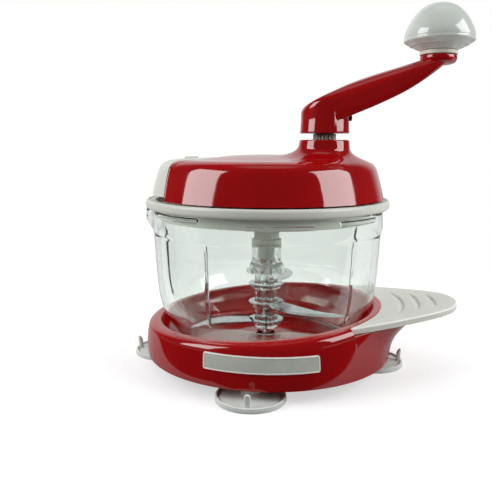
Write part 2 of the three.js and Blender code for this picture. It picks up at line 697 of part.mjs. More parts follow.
function feedShape(inset) {
  const chord = ring.chord + inset;
  const radius = ringSkirt - ring.feedIn - inset;
  const half = Math.acos(chord / radius);
  const outline = new THREE.Shape();
  outline.moveTo(chord, -radius * Math.sin(half));
  outline.absarc(0, 0, radius, -half, half, false);
  outline.closePath();
  return outline;
}

function lidBody() {
  const skirtInner = ringSkirt - ring.skirtWall;
  const spindleHole = spindle.radius + GAP + bush.spindleWall + GAP;
  const body = turnedRing([
    [spindleHole, deckLow - ring.hubDrop], [ring.hub, deckLow - ring.hubDrop], [ring.hub, deckLow],
    [skirtInner, deckLow], [skirtInner, ringLow - ring.skirtDrop], [ringSkirt, ringLow - ring.skirtDrop],
    [ringSkirt, ringLow], [lidRadius - ring.round, ringLow], [lidRadius, ringLow + ring.round],
    [lidRadius, ringTop - ring.round], [lidRadius - ring.round, ringTop],
    [coverRadius - ring.stepIn, ringTop], [coverRadius - ring.stepIn - GAP, deckTop],
    [ring.hub, deckTop], [ring.hub, lidHubTop], [spindleHole, lidHubTop],
  ], LARGE);
  const boss = solid(placed(rod(ring.shaftBoss, deckLow, shaftBossTop, MEDIUM), crankAxis));
  const journalLow = shaftBossTop - shaft.journalDepth;
  const well = rod(shaft.journal + GAP, journalLow, shaftBossTop + OVERRUN, MEDIUM);
  const feed = solid(extruded(feedShape(0), ring.deckThick + 2 * OVERRUN, deckLow - OVERRUN, SMALL)
    .rotateZ(rad(flapTurn)));
  const holes = postTurns.map((turn) => solid(placed(
    rod(screw.pilot, deckLow - OVERRUN, deckTop + OVERRUN, SMALL), at(postCircle, turn))));
  const whole = cut(join(solid(body), boss), solid(placed(well, crankAxis)), feed, ...holes);
  return mesh('lid_body', geometryOf(whole), colour.grey, 0.4);
}

function coverProfile(shrink, low, high) {
  const side = scaledProfile(coverShares, coverRadius, COVER_HEIGHT, coverLow)
    .map(([radius, height]) => [radius - shrink, height - shrink]);
  side[0][1] = low;
  side[side.length - 1][1] = high;
  return [[0, low], ...side, [0, high]];
}

// Hub of the cover with the fillet that runs down to its top
const hubShares = [[1, 1], [1, 0.62], [1.05, 0.45], [1.17, 0.27], [1.38, 0.12], [1.7, 0.035], [2.06, 0]];

// Keeps the fillet inside the cover's outer face
const hubLimitShares = [[0.93, 0], [0.925, 0.81], [0.895, 0.95], [0.83, 1.08]];

function coverHub() {
  const side = scaledProfile(hubShares, cover.hub, HUB_HEIGHT, coverTop).reverse();
  const low = coverTop - cover.wall;
  const shape = turned([[0, low], [side[0][0], low], ...side, [0, hubTop]], MEDIUM);
  const body = solid(placed(shape, crankAxis));
  const reach = axisGap + cover.hub + cover.wall;
  const limit = scaledProfile(hubLimitShares, coverRadius, COVER_HEIGHT, coverLow);
  const envelope = turned([[0, coverLow], ...limit, [reach, coverTop + HUB_HEIGHT / 2],
    [reach, hubTop + OVERRUN], [0, hubTop + OVERRUN]], LARGE);
  return body.intersect(solid(envelope));
}

function beyondChord(distance, low, high) {
  const box = block(coreRadius, coreRadius, low, high, distance + coreRadius / 2, 0);
  return solid(box.rotateZ(rad(flapTurn)));
}

function alongHinge(geometry) {
  return geometry.rotateX(Math.PI / 2).translate(flap.hingeIn, 0, hingeHeight).rotateZ(rad(flapTurn));
}

function hingeRod(radius, halfLength, steps = SMALL) {
  return alongHinge(rod(radius, -halfLength, halfLength, steps));
}

// The two ears of the cover that hold the hinge pin, or the room that they need when the flap
// swings, which is longer on the flap's side
function earBlock(grow, swing = 0) {
  const [near, far] = [cover.chord - grow, flap.hingeIn + flap.knuckle + GAP + grow + swing];
  const high = coverTop - GAP + (grow ? OVERRUN : 0);
  return [-1, 1].map((side) => solid(block(far - near, cover.ear + 2 * grow,
    hingeHeight - cover.earDepth - grow, high, (near + far) / 2, side * earAlong)
    .rotateZ(rad(flapTurn))));
}

function lidCover() {
  const outer = solid(turned(coverProfile(0, coverLow, coverTop), LARGE));
  const inner = solid(turned(coverProfile(cover.wall, coverLow - OVERRUN, coverTop - cover.wall), LARGE));
  const middle = cover.chord - cover.chordWall / 2;
  const wall = solid(block(cover.chordWall, coreRadius, coverLow, coverTop, middle)
    .rotateZ(rad(flapTurn))).intersect(outer);
  const boss = solid(placed(rod(cover.hubBoss, hubBossLow, coverTop, MEDIUM), crankAxis));
  const bore = solid(placed(rod(cover.hubBore, hubBossLow - OVERRUN, hubTop + OVERRUN, MEDIUM), crankAxis));
  const half = cover.wall / 2;
  const inside = solid(turned(coverProfile(half, coverLow - OVERRUN, coverTop - half), LARGE));
  const post = (turn) => placed(rod(cover.post, deckTop + GAP, coverTop, SMALL), at(postCircle, turn));
  const posts = postTurns.map((turn) => solid(post(turn)).intersect(inside));
  const pilots = postTurns.map((turn) => solid(placed(
    rod(screw.pilot, deckTop - OVERRUN, deckTop + cover.postPilot, SMALL), at(postCircle, turn))));
  const shell = cut(outer, inner, beyondChord(cover.chord, coverLow - OVERRUN, coverTop + OVERRUN));
  const whole = join(shell, coverHub(), wall, boss, ...posts, ...earBlock(0));
  const body = cut(whole, bore, ...pilots, solid(hingeRod(flap.bore, pinReach + GAP)));
  return mesh('lid_cover', geometryOf(body), colour.red, 0.15);
}

function feedFlap() {
  const near = flap.hingeIn - flap.knuckle + GAP;
  const outer = solid(turned(coverProfile(0, coverLow, coverTop), LARGE));
  const inner = solid(turned(coverProfile(flap.wall, coverLow - OVERRUN, coverTop - flap.wall), LARGE));
  const shell = cut(outer, inner).intersect(beyondChord(near, coverLow + flap.lift, coverTop + OVERRUN));
  const knuckle = solid(hingeRod(flap.knuckle, earAlong - cover.ear / 2 - GAP));
  const tab = solid(block(flap.tabThick, flap.tabWidth, coverTop - flap.wall, coverTop + flap.tabRise,
    coverRadius - flap.tabIn, 0).rotateZ(rad(flapTurn)));
  const bore = solid(hingeRod(flap.bore, pinReach + GAP));
  const body = cut(join(shell, knuckle, tab), ...earBlock(2 * GAP, flap.swing), bore);
  return mesh('feed_flap', geometryOf(body), colour.grey, 0.4);
}

function hingePin() {
  return mesh('flap_hinge_pin', hingeRod(flap.pin, pinReach), colour.steel, 0.3, 1);
}

function lidScrews() {
  const tip = deckTop + cover.postPilot - GAP;
  return postTurns.map((turn, i) => {
    const piece = mesh(`lid_screw_${i + 1}`, screwGeometry(deckLow - GAP, tip), colour.steel, 0.3, 1);
    piece.position.set(...at(postCircle, turn), 0);
    return piece;
  });
}

// A plain sleeve with its flange at the height where it starts
function flangedBush(name, bore, outer, flange, seat, flangeEnd, tubeEnd, place) {
  const profile = [[bore, flangeEnd], [flange, flangeEnd], [flange, seat], [outer, seat], [outer, tubeEnd],
    [bore, tubeEnd]];
  return mesh(name, placed(turnedRing(profile, MEDIUM), place), colour.white, 0.5);
}

function bushings() {
  const flangeHigh = hubBossLow - GAP;
  const crankOuter = cover.hubBore - GAP;
  const spindleBore = spindle.radius + GAP;
  const spindleOuter = spindleBore + bush.spindleWall;
  return [
    flangedBush('crank_bushing', shaft.radius + GAP, crankOuter, crankOuter + bush.flange, flangeHigh,
      flangeHigh - bush.flangeThick, hubTop - GAP, crankAxis),
    flangedBush('spindle_bushing', spindleBore, spindleOuter, spindleOuter + bush.spindleFlange,
      lidHubTop + GAP, spindleFlangeTop, deckLow - ring.hubDrop, [0, 0]),
  ];
}

// Gears

// Outline of one involute gear with a tooth on the +X axis
function gearShape(teeth, backlash) {
  const pitch = gearModule * teeth / 2;
  const foundation = pitch * Math.cos(rad(pinion.pressure));
  const tip = pitch + pinion.addendum * gearModule;
  const root = pitch - (pinion.addendum + pinion.root) * gearModule;
  const involute = (radius) => {
    const angle = Math.acos(Math.min(1, foundation / radius));
    return Math.tan(angle) - angle;
  };
  const halfPitch = Math.PI / 2 / teeth - backlash / 2 / pitch + involute(pitch);
  const start = Math.max(foundation, root);
  const flank = [start, (start + tip) / 2, tip].slice(teeth > LARGE / 2 ? 1 : 0);
  const points = [];
  for (let i = 0; i < teeth; i += 1) {
    const middle = i * 2 * Math.PI / teeth;
    const rise = flank.map((radius) => [radius, middle - halfPitch + involute(radius)]);
    const fall = [...flank].reverse().map((radius) => [radius, middle + halfPitch - involute(radius)]);
    points.push([root, middle - halfPitch], ...rise, ...fall, [root, middle + halfPitch]);
  }
  const outline = new THREE.Shape();
  points.forEach(([radius, turn], i) => {
    const place = [radius * Math.cos(turn), radius * Math.sin(turn)];
    if (i) outline.lineTo(...place);
    else outline.moveTo(...place);
  });
  return outline;
}

function crankGear() {
  const outline = gearShape(CRANK_TEETH, pinion.backlash);
  const holeCircle = gearModule * CRANK_TEETH / 2 - gear.holeIn;
  for (let i = 0; i < gear.holes; i += 1) {
    const hole = new THREE.Path();
    hole.absarc(...at(holeCircle, (i + 0.5) * 360 / gear.holes), gear.holeRadius, 0, 2 * Math.PI);
    outline.holes.push(hole);
  }
  const teeth = extruded(outline, gear.thick, gearLow, SMALL / 2).rotateZ(rad(flapTurn));
  const bore = hexRod(gear.hex + 2 * gear.hexGap, gearLow - OVERRUN, gearTop + OVERRUN);
  const body = cut(solid(teeth), solid(bore.rotateZ(rad(ARM_TURN))));
  return mesh('crank_gear', placed(geometryOf(body), crankAxis), colour.white, 0.5);
}

function spindlePinion() {
  const halfTooth = 180 / PINION_TEETH;
  const teeth = extruded(gearShape(PINION_TEETH, pinion.backlash), pinion.thick, pinionLow);
  const body = cut(solid(teeth.rotateZ(rad(HUB_TURN + halfTooth))),
    solid(hexRod(pinion.hex + 2 * gear.hexGap, pinionLow - OVERRUN, pinionTop + OVERRUN)));
  return mesh('spindle_pinion', geometryOf(body), colour.white, 0.5);
}

// Crank

function crankShaft() {
  const keyTop = crankLow + shaft.keyHeight;
  const parts = [
    rod(shaft.journal, shaftBossTop - shaft.journalDepth + GAP, gearLow + GAP, MEDIUM),
    hexRod(gear.hex, gearLow, gearTop + GAP),
    rod(shaft.collar, gearTop + GAP, gearTop + GAP + shaft.collarThick, MEDIUM),
    rod(shaft.radius, gearTop + GAP + shaft.collarThick / 2, crankLow - GAP, MEDIUM),
    hexRod(shaft.keyHex, crankLow - shaft.collarThick, keyTop),
  ].map(solid);
  const shape = placed(geometryOf(join(...parts)), crankAxis, ARM_TURN);
  return mesh('crank_shaft', shape, colour.steel, 0.4, 0.6);
}

// Outer faces of the arm's hub and of the boss under the knob
const armHubShares = [[1, 0], [1, 0.2], [0.8, 0.28], [0, 0.32]];
const armBossShares = [[0.7, 0], [1, 0.4], [1, 1]];

function armGeometry() {
  const sections = armShares.map((row) => {
    const [along, under, over, half] = row.map((share) => share * CRANK_REACH);
    const middle = crankLow + (under + over) / 2;
    const tall = (over - under) / 2;
    return Array.from({ length: 12 }, (unused, i) => {
      const turn = (i + 0.5) * Math.PI / 6;
      const squared = (value) => Math.sign(value) * Math.abs(value) ** 0.72;
      return [along, half * squared(Math.cos(turn)), middle + tall * squared(Math.sin(turn))];
    });
  });
  return lofted(sections);
}

function crankArm() {
  const hubSide = scaledProfile(armHubShares, crank.hub, CRANK_REACH, crankLow);
  const hub = turned([[0, crankLow], ...hubSide], MEDIUM);
  const bossLow = bossTop - crank.bossHeight;
  const boss = turned([[0, bossLow], ...scaledProfile(armBossShares, crank.boss, crank.bossHeight, bossLow),
    [0, bossTop]], MEDIUM).translate(CRANK_REACH, 0, 0);
  const key = hexRod(shaft.keyHex + 2 * GAP, crankLow - OVERRUN, crankLow + crank.keyDepth);
  const pinHole = rod(knob.pin + GAP, bossTop - crank.pinDepth, bossTop + OVERRUN, MEDIUM)
    .translate(CRANK_REACH, 0, 0);
  const setHole = rod(crank.setScrew + GAP, 0, crank.hub + OVERRUN, SMALL).rotateY(Math.PI / 2)
    .translate(0, 0, crankLow + crank.setHeight);
  const tools = [key, pinHole, setHole].map(solid);
  const body = cut(join(solid(armGeometry()), solid(hub), solid(boss)), ...tools);
  return mesh('crank_arm', placed(geometryOf(body), crankAxis, ARM_TURN), colour.red, 0.18);
}

function setScrew() {
  const shape = rod(crank.setScrew, shaft.keyHex / 2 + crank.setGap, crank.hub + crank.setProud, SMALL)
    .rotateY(Math.PI / 2).translate(0, 0, crankLow + crank.setHeight);
  return mesh('crank_set_screw', placed(shape, crankAxis, ARM_TURN), colour.dark, 0.4, 0.5);
}

const knobAxis = at(CRANK_REACH, ARM_TURN).map((value, i) => crankAxis[i] + value);
const knobLow = bossTop + knob.washerThick + 2 * GAP;

function knobPin() {
  const headLow = knobLow + knob.headDepth;
  const low = bossTop - crank.pinDepth + GAP;
  const shape = turned([[0, low], [knob.pin, low], [knob.pin, headLow], [knob.pinHead, headLow],
    [knob.pinHead, headLow + knob.headHeight], [0, headLow + knob.headHeight]], MEDIUM);
  return mesh('knob_pin', placed(shape, knobAxis), colour.steel, 0.3, 1);
}

function knobWasher() {
  const [low, high] = [bossTop + GAP, bossTop + GAP + knob.washerThick];
  const bore = knob.pin + GAP;
  const shape = turnedRing([[bore, low], [knob.washer, low], [knob.washer, high], [bore, high]], MEDIUM);
  return mesh('knob_washer', placed(shape, knobAxis), colour.white, 0.4);
}

// Outer face of the knob from its neck to its crown
const knobShares = [[0.547, 0], [0.82, 0.085], [0.95, 0.17], [0.995, 0.27], [0.985, 0.4], [0.885, 0.61],
  [0.76, 0.75], [0.58, 0.87], [0.32, 0.96], [0, 1]];

function knobPiece() {
  const seat = knobLow + knob.headDepth - GAP;
  const roof = knobLow + knob.headDepth + knob.headHeight + knob.room;
  const side = scaledProfile(knobShares, knob.radius, knob.height, knobLow);
  const [bore, room] = [knob.pin + GAP, knob.pinHead + GAP];
  const profile = [[0, roof], [room, roof], [room, seat], [bore, seat], [bore, knobLow], ...side];
  return mesh('knob', placed(turned(profile, MEDIUM), knobAxis), colour.grey, 0.3);
}

// Spindle

function driveSpindle() {
  const collarTop = deckLow - ring.hubDrop - GAP;
  const flangeTop = stem.socketTop + GAP + spindle.flangeHeight;
  const parts = [
    rod(spindle.collar, flangeTop - GAP, collarTop, MEDIUM),
    rod(spindle.flange, stem.socketTop + GAP, flangeTop, MEDIUM),
    hexRod(spindle.hex, stem.socketTop - spindle.hexDrop + GAP, flangeTop),
    rod(spindle.radius, collarTop - GAP, spindleFlangeTop, MEDIUM),
    hexRod(pinion.hex, spindleFlangeTop - GAP, pinionTop - GAP),
  ].map(solid);
  const hole = solid(rod(screw.pilot, pinionTop - spindle.screwDepth, pinionTop + OVERRUN, SMALL));
  return mesh('drive_spindle', geometryOf(cut(join(...parts), hole)), colour.grey, 0.45);
}

function pinionScrew() {
  const seat = pinionTop + GAP;
  return mesh('pinion_screw', turned([[0, pinionTop - spindle.screwDepth + GAP],
    [screw.shank, pinionTop - spindle.screwDepth + 2 * GAP], [screw.shank, seat], [spindle.screwHead, seat],
    [spindle.screwHead, seat + spindle.screwHeadHeight], [0, seat + spindle.screwHeadHeight]], SMALL),
  colour.steel, 0.3, 1);
}

const whole = new THREE.Group();
whole.add(baseShell(), basePlate(), palmRest(), namePlate(), ...feet(), ...baseScrews(), ...palmScrews());
whole.add(bowlPiece(), bowlPin(), bladeStem(), ...blades());
whole.add(lidBody(), lidCover(), feedFlap(), hingePin(), ...lidScrews(), ...bushings());
whole.add(crankGear(), spindlePinion(), crankShaft(), crankArm(), setScrew());
whole.add(knobPin(), knobWasher(), knobPiece(), driveSpindle(), pinionScrew());

// The origin moves from the bowl's axis to the middle of the part's footprint
const extent = new THREE.Box3().setFromObject(whole);
const group = new THREE.Group();
whole.position.set(-(extent.min.x + extent.max.x) / 2, -(extent.min.y + extent.max.y) / 2, -extent.min.z);
group.add(whole);

export default group;
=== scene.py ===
"""Looks of a hand cranked food chopper: suction cup base, clear bowl, geared lid and crank.

Every length is in millimetres from the bowl's axis at the floor until make_piece() turns it into
the frame's metres. Surfaces are grids of points, rows by columns by (x, y, z). A turn is an angle
round the upright, in radians where nothing else is said.
"""

import logging
import math
from collections.abc import Callable, Mapping, Sequence
from dataclasses import dataclass, field
from enum import Enum

import bmesh
import bpy
import numpy as np
from mathutils import Matrix, Vector


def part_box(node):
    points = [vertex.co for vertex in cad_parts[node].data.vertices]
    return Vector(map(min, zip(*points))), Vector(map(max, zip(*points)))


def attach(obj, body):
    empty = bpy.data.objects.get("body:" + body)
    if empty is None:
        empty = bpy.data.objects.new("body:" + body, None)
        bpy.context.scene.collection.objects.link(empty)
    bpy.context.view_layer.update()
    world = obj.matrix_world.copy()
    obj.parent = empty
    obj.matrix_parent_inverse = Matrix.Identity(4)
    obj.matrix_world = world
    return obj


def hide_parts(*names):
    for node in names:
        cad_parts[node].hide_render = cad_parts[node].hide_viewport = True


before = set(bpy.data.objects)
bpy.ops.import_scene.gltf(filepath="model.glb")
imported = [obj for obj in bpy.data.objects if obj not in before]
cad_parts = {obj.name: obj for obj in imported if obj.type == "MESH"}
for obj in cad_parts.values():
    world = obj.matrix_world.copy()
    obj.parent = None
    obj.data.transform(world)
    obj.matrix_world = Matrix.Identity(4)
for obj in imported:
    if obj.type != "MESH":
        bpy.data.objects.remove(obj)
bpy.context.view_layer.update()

LOG = logging.getLogger("chopper")
Points = np.ndarray
Socket = bpy.types.NodeSocket
Colour = tuple[float, float, float]
Place = tuple[float, float]
Corners = Sequence[Sequence[float]]

_ring_low, _ring_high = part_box("lid_body")
BOWL_AXIS = (_ring_low.x + _ring_high.x) / 2  # metres, in the frame
MM = 1000.0  # in a metre
HUB_TURN = math.radians(-25.2)  # from the palm rest's middle to the crank's axis
AXIS_GAP = 46.0
CRANK_AXIS = (AXIS_GAP * math.cos(HUB_TURN), AXIS_GAP * math.sin(HUB_TURN))
FLAP_TURN = HUB_TURN + math.pi
ARM_TURN = math.radians(4.5)
ARM_REACH = 76.6
EAR_PLACES = (-52.0, 52.0)  # along the flap's hinge
MIDDLE = (0.0, 0.0)
SHARP = 40.0  # degrees past which an edge stays sharp
SHADOW_SOLID = 0.08  # opacity of a clear wall for the light that casts shadows
RUB_SHARE = 0.35  # size of the rubbed patches against the colour patches
WAVE_UNIT = 20.0  # radians of a wave texture in a unit of length


class Slot(Enum):
    """Material slots of the part's record."""

    RED = "red_shell"
    GREY = "grey_plastic"
    KNOB = "knob_grey"
    PLATE = "plate_grey"
    BOWL = "clear_bowl"
    STEM = "clear_stem"
    RUBBER = "foot_rubber"
    WHITE = "white_plastic"
    STEEL = "steel"
    SHAFT = "shaft_steel"
    DARK = "dark_steel"


@dataclass(frozen=True)
class Finish:
    """A surface finish.

    Attributes:
        slot: Material slot that it belongs to.
        colour: Main colour, sRGB 0 to 1.
        shade: Colour that it drifts towards in soft patches.
        rough: Lowest and highest roughness.
        grain: Size in mm of the fine surface grain and its depth in mm.
        patch: Size in mm of the soft patches.
        metallic: Metal share.
        gloss: Specular level of the surface, 0.5 is that of plain plastic.
        clear: Share of light that passes through. Light that casts shadows mostly passes too.
        solid: Opacity to all other light, below 1 where a thin clear wall lets it straight through.
        ior: Index of refraction.
        mark: Point attribute that blends towards mark_colour, or nothing; on the palm rest and the suction
            cups it is a painted edge highlight, on the name plate a pale border.
        mark_colour: Colour where the attribute is 1, sRGB.
        lines: Spacing in mm of turned or brushed lines over 2 pi, 0 for none.
    """

    slot: Slot
    colour: Colour
    shade: Colour
    rough: tuple[float, float]
    grain: tuple[float, float] = (1.0, 0.01)
    patch: float = 30.0
    metallic: float = 0.0
    gloss: float = 0.5
    clear: float = 0.0
    solid: float = 1.0
    ior: float = 1.5
    mark: str = ""
    mark_colour: Colour = (1.0, 1.0, 1.0)
    lines: float = 0.0


FINISHES = (
    Finish(Slot.RED, (0.64, 0.018, 0.037), (0.59, 0.012, 0.028), (0.04, 0.09), (6.0, 0.003), 45.0,
           gloss=0.95),
    # The grey's mark_colour is a painted pale highlight along the palm rest's edges.
    Finish(Slot.GREY, (0.85, 0.856, 0.82), (0.825, 0.832, 0.798), (0.3, 0.42), (0.5, 0.012), 25.0,
           mark="edge", mark_colour=(0.97, 0.965, 0.95)),
    Finish(Slot.KNOB, (0.835, 0.86, 0.836), (0.81, 0.835, 0.811), (0.08, 0.14), (2.5, 0.004), 20.0,
           gloss=0.9),
    Finish(Slot.PLATE, (0.78, 0.79, 0.755), (0.735, 0.745, 0.715), (0.3, 0.45), (0.4, 0.01), 9.0,
           mark="edge", mark_colour=(0.96, 0.92, 0.9)),
    Finish(Slot.BOWL, (0.958, 0.974, 0.962), (0.943, 0.963, 0.95), (0.004, 0.02), (9.0, 0.004), 40.0,
           gloss=0.8, clear=1.0, ior=1.49),
    Finish(Slot.STEM, (0.94, 0.96, 0.95), (0.92, 0.945, 0.935), (0.01, 0.04), (5.0, 0.004), 12.0,
           gloss=0.9, clear=1.0, solid=0.88, ior=1.49),
    # The rubber's mark_colour is a painted pale highlight on the cups' upper rims and the tabs' sides.
    Finish(Slot.RUBBER, (0.84, 0.86, 0.845), (0.8, 0.82, 0.805), (0.38, 0.55), (0.6, 0.02), 14.0,
           mark="edge", mark_colour=(0.9, 0.915, 0.9)),
    Finish(Slot.WHITE, (0.93, 0.9, 0.85), (0.9, 0.87, 0.82), (0.35, 0.5), (0.6, 0.01), 12.0),
    Finish(Slot.STEEL, (0.8, 0.81, 0.82), (0.72, 0.73, 0.745), (0.16, 0.3), (0.5, 0.006), 8.0, 1.0,
           lines=0.35),
    Finish(Slot.SHAFT, (0.62, 0.575, 0.55), (0.53, 0.49, 0.47), (0.36, 0.52), (0.5, 0.008), 6.0, 0.8,
           lines=0.6),
    Finish(Slot.DARK, (0.16, 0.16, 0.17), (0.1, 0.1, 0.11), (0.3, 0.45), (0.5, 0.01), 4.0, 0.8),
)


def linear(colour: Sequence[float]) -> tuple[float, float, float, float]:
    """Scene-linear RGBA of an sRGB colour."""
    low = [c / 12.92 if c <= 0.04045 else ((c + 0.055) / 1.055) ** 2.4 for c in colour]
    return (low[0], low[1], low[2], 1.0)


@dataclass(frozen=True)
class Step:
    """A soft step by how far a vector points a given way.

    Attributes:
        way: Direction that the vector is measured against.
        start: Dot product where the step starts.
        end: Dot product where it ends.
        low: Value before the step.
        high: Value after it.
    """

    way: tuple[float, float, float]
    start: float
    end: float
    low: float = 0.0
    high: float = 1.0


class ShaderBuilder:
    """Adds nodes to the tree of a material or of the surroundings and links them."""

    def __init__(self, owner: bpy.types.ID) -> None:
        """Starts with an empty node tree.

        Args:
            owner: The material or world.
        """
        self.owner = owner
        owner.use_nodes = True
        self.tree = owner.node_tree
        self.tree.nodes.clear()

    def feed(self, target: Socket, value: object) -> None:
        """Links an output to an input, or sets the input where it is given a value.

        Args:
            target: The input.
            value: An output socket, or the value.
        """
        if isinstance(value, bpy.types.NodeSocket):
            self.tree.links.new(value, target)
        else:
            target.default_value = value

    def node(self, kind: str, inputs: Mapping[str | int, object] | None = None,
             **settings: object) -> bpy.types.Node:
        """Adds a node, sets its properties and feeds its inputs.

        Args:
            kind: Blender's type name of the node.
            inputs: What feeds each input, by the input's name or number.
            **settings: Properties by name.

        Returns:
            The node.
        """
        made = self.tree.nodes.new(kind)
        for key, value in settings.items():
            setattr(made, key, value)
        for key, value in (inputs or {}).items():
            self.feed(made.inputs[key], value)
        return made

    def noise(self, where: Socket, size: float, detail: float) -> Socket:
        """Noise texture from 0 to 1 with features of a size in mm and some octaves of detail."""
        inputs = {"Vector": where, "Scale": MM / size, "Detail": detail}
        return self.node("ShaderNodeTexNoise", inputs).outputs["Fac"]

    def ranged(self, value: Socket, start: float, end: float, low: float, high: float,
               kind: str = "LINEAR") -> Socket:
        """Maps a value from one range to another and holds it at the ends.

        Args:
            value: The value.
            start: Where the range starts.
            end: Where it ends.
            low: Result at the start.
            high: Result at the end.
            kind: Blender's name of the interpolation.

        Returns:
            The result.
        """
        inputs = {"Value": value, "From Min": start, "From Max": end, "To Min": low, "To Max": high}
        return self.node("ShaderNodeMapRange", inputs, interpolation_type=kind).outputs["Result"]

    def spread(self, noise: Socket, low: float, high: float) -> Socket:
        """Maps the middle of a noise, from 0.3 to 0.7, to a range."""
        return self.ranged(noise, 0.3, 0.7, low, high)

    def math(self, operation: str, first: Socket, second: Socket | float) -> Socket:
        """Sum, product or larger of two values, by Blender's name of the operation."""
        return self.node("ShaderNodeMath", {0: first, 1: second}, operation=operation).outputs["Value"]

    def toward(self, where: Socket, step: Step) -> Socket:
        """Value of a step for the vector."""
        dot = self.node("ShaderNodeVectorMath", {0: where, 1: step.way}, operation="DOT_PRODUCT")
        return self.ranged(dot.outputs["Value"], step.start, step.end, step.low, step.high, "SMOOTHSTEP")

    def blend(self, factor: Socket, first: Socket | float, second: Socket | float) -> Socket:
        """Mixes two values; factor 0 gives the first."""
        return self.node("ShaderNodeMix", {0: factor, 2: first, 3: second}).outputs[0]

    def mix(self, factor: Socket, first: Socket | Colour, second: Colour) -> Socket:
        """Mixes two colours.

        Args:
            factor: 0 gives the first.
            first: Colour or socket.
            second: Colour.

        Returns:
            The mixed colour.
        """
        start = first if isinstance(first, bpy.types.NodeSocket) else linear(first)
        inputs = {0: factor, 6: start, 7: linear(second)}
        return self.node("ShaderNodeMix", inputs, data_type="RGBA").outputs[2]


def make_material(finish: Finish) -> bpy.types.Material:
    """Builds the procedural material of a finish on object coordinates.

    Args:
        finish: The finish.

    Returns:
        The material.
    """
    build = ShaderBuilder(bpy.data.materials.new(finish.slot.value))
    where = build.node("ShaderNodeTexCoord").outputs["Object"]
    soft = build.spread(build.noise(where, finish.patch, 2.0), 0.0, 1.0)
    colour = build.mix(soft, finish.colour, finish.shade)
    if finish.mark:
        mark = build.node("ShaderNodeAttribute", attribute_name=finish.mark)
        colour = build.mix(mark.outputs["Fac"], colour, finish.mark_colour)
    rubbed = build.noise(where, finish.patch * RUB_SHARE, 4.0)
    grain = build.noise(where, finish.grain[0], 3.0)
    if finish.lines:
        turned_lines = {"Scale": MM / finish.lines / WAVE_UNIT, "Distortion": 2.0, "Vector": where}
        wave = build.node("ShaderNodeTexWave", turned_lines, wave_type="BANDS", bands_direction="Z")
        grain = build.math("ADD", grain, wave.outputs["Fac"])
    bump = build.node("ShaderNodeBump", {"Strength": 1.0, "Distance": finish.grain[1] / MM, "Height": grain})
    shader = build.node("ShaderNodeBsdfPrincipled", {
        "Base Color": colour,
        "Roughness": build.spread(rubbed, *finish.rough),
        "Normal": bump.outputs["Normal"],
        "Metallic": finish.metallic,
        "IOR": finish.ior,
        "Specular IOR Level": finish.gloss,
        "Transmission Weight": finish.clear,
        "Alpha": finish.solid,
    })
    if finish.clear:
        shadow = build.node("ShaderNodeLightPath").outputs["Is Shadow Ray"]
        build.feed(shader.inputs["Alpha"], build.blend(shadow, finish.solid, SHADOW_SOLID))
    build.node("ShaderNodeOutputMaterial", {"Surface": shader.outputs["BSDF"]})
    return build.owner


MATERIALS = {finish.slot: make_material(finish) for finish in FINISHES}


def bend(start: Points, pull: Points, end: Points, t: Points) -> Points:
    """Quadratic curve (1-t)^2 a + 2t(1-t) p + t^2 b."""
    return (1 - t) ** 2 * start + 2 * t * (1 - t) * pull + t**2 * end


def lengths(steps: Points) -> Points:
    """Length along a line up to each of its points, from the steps between them."""
    return np.concatenate([[0.0], np.cumsum(steps)])


def smooth_through(corners: Corners, count: int) -> Points:
    """Smooth curve through corners, sampled evenly along its length.

    Between neighbours p0 and p1 a chord h apart the curve is the cubic
    (2t^3-3t^2+1)p0 + (t^3-2t^2+t)h m0 + (3t^2-2t^3)p1 + (t^3-t^2)h m1,
    where m is the slope from the corner before to the corner after.

    Args:
        corners: Points of any dimension.
        count: Number of samples.

    Returns:
        Samples, count by dimension.
    """
    knots = np.asarray(corners, float)
    chord = np.linalg.norm(np.diff(knots, axis=0), axis=1)
    along = lengths(chord)
    slope = np.empty_like(knots)
    slope[1:-1] = (knots[2:] - knots[:-2]) / (along[2:] - along[:-2])[:, None]
    slope[0] = (knots[1] - knots[0]) / chord[0]
    slope[-1] = (knots[-1] - knots[-2]) / chord[-1]
    place = np.linspace(0.0, along[-1], count * 8)
    piece = np.clip(np.searchsorted(along, place, side="right") - 1, 0, len(chord) - 1)
    width = chord[piece][:, None]
    t = (place - along[piece])[:, None] / width
    dense = ((2 * t**3 - 3 * t**2 + 1) * knots[piece] + (t**3 - 2 * t**2 + t) * width * slope[piece]
             + (3 * t**2 - 2 * t**3) * knots[piece + 1] + (t**3 - t**2) * width * slope[piece + 1])
    return resample(dense, count)


def resample(line: Points, count: int, weight: Points | None = None) -> Points:
    """Samples a polyline evenly along its length, or closer together where weight is larger.

    Args:
        line: Points of the polyline.
        count: Number of samples.
        weight: One number for each stretch between points.

    Returns:
        Samples, count by dimension.
    """
    step = np.linalg.norm(np.diff(line, axis=0), axis=1)
    along = lengths(step if weight is None else step * weight)
    place = np.linspace(0.0, along[-1], count)
    return np.stack([np.interp(place, along, line[:, k]) for k in range(line.shape[1])], axis=1)


def read_curve(corners: Corners, x: Points) -> Points:
    """Second coordinate of the smooth curve through corners, where its first is x."""
    table = smooth_through(corners, 400)
    return np.interp(x, table[:, 0], table[:, 1])


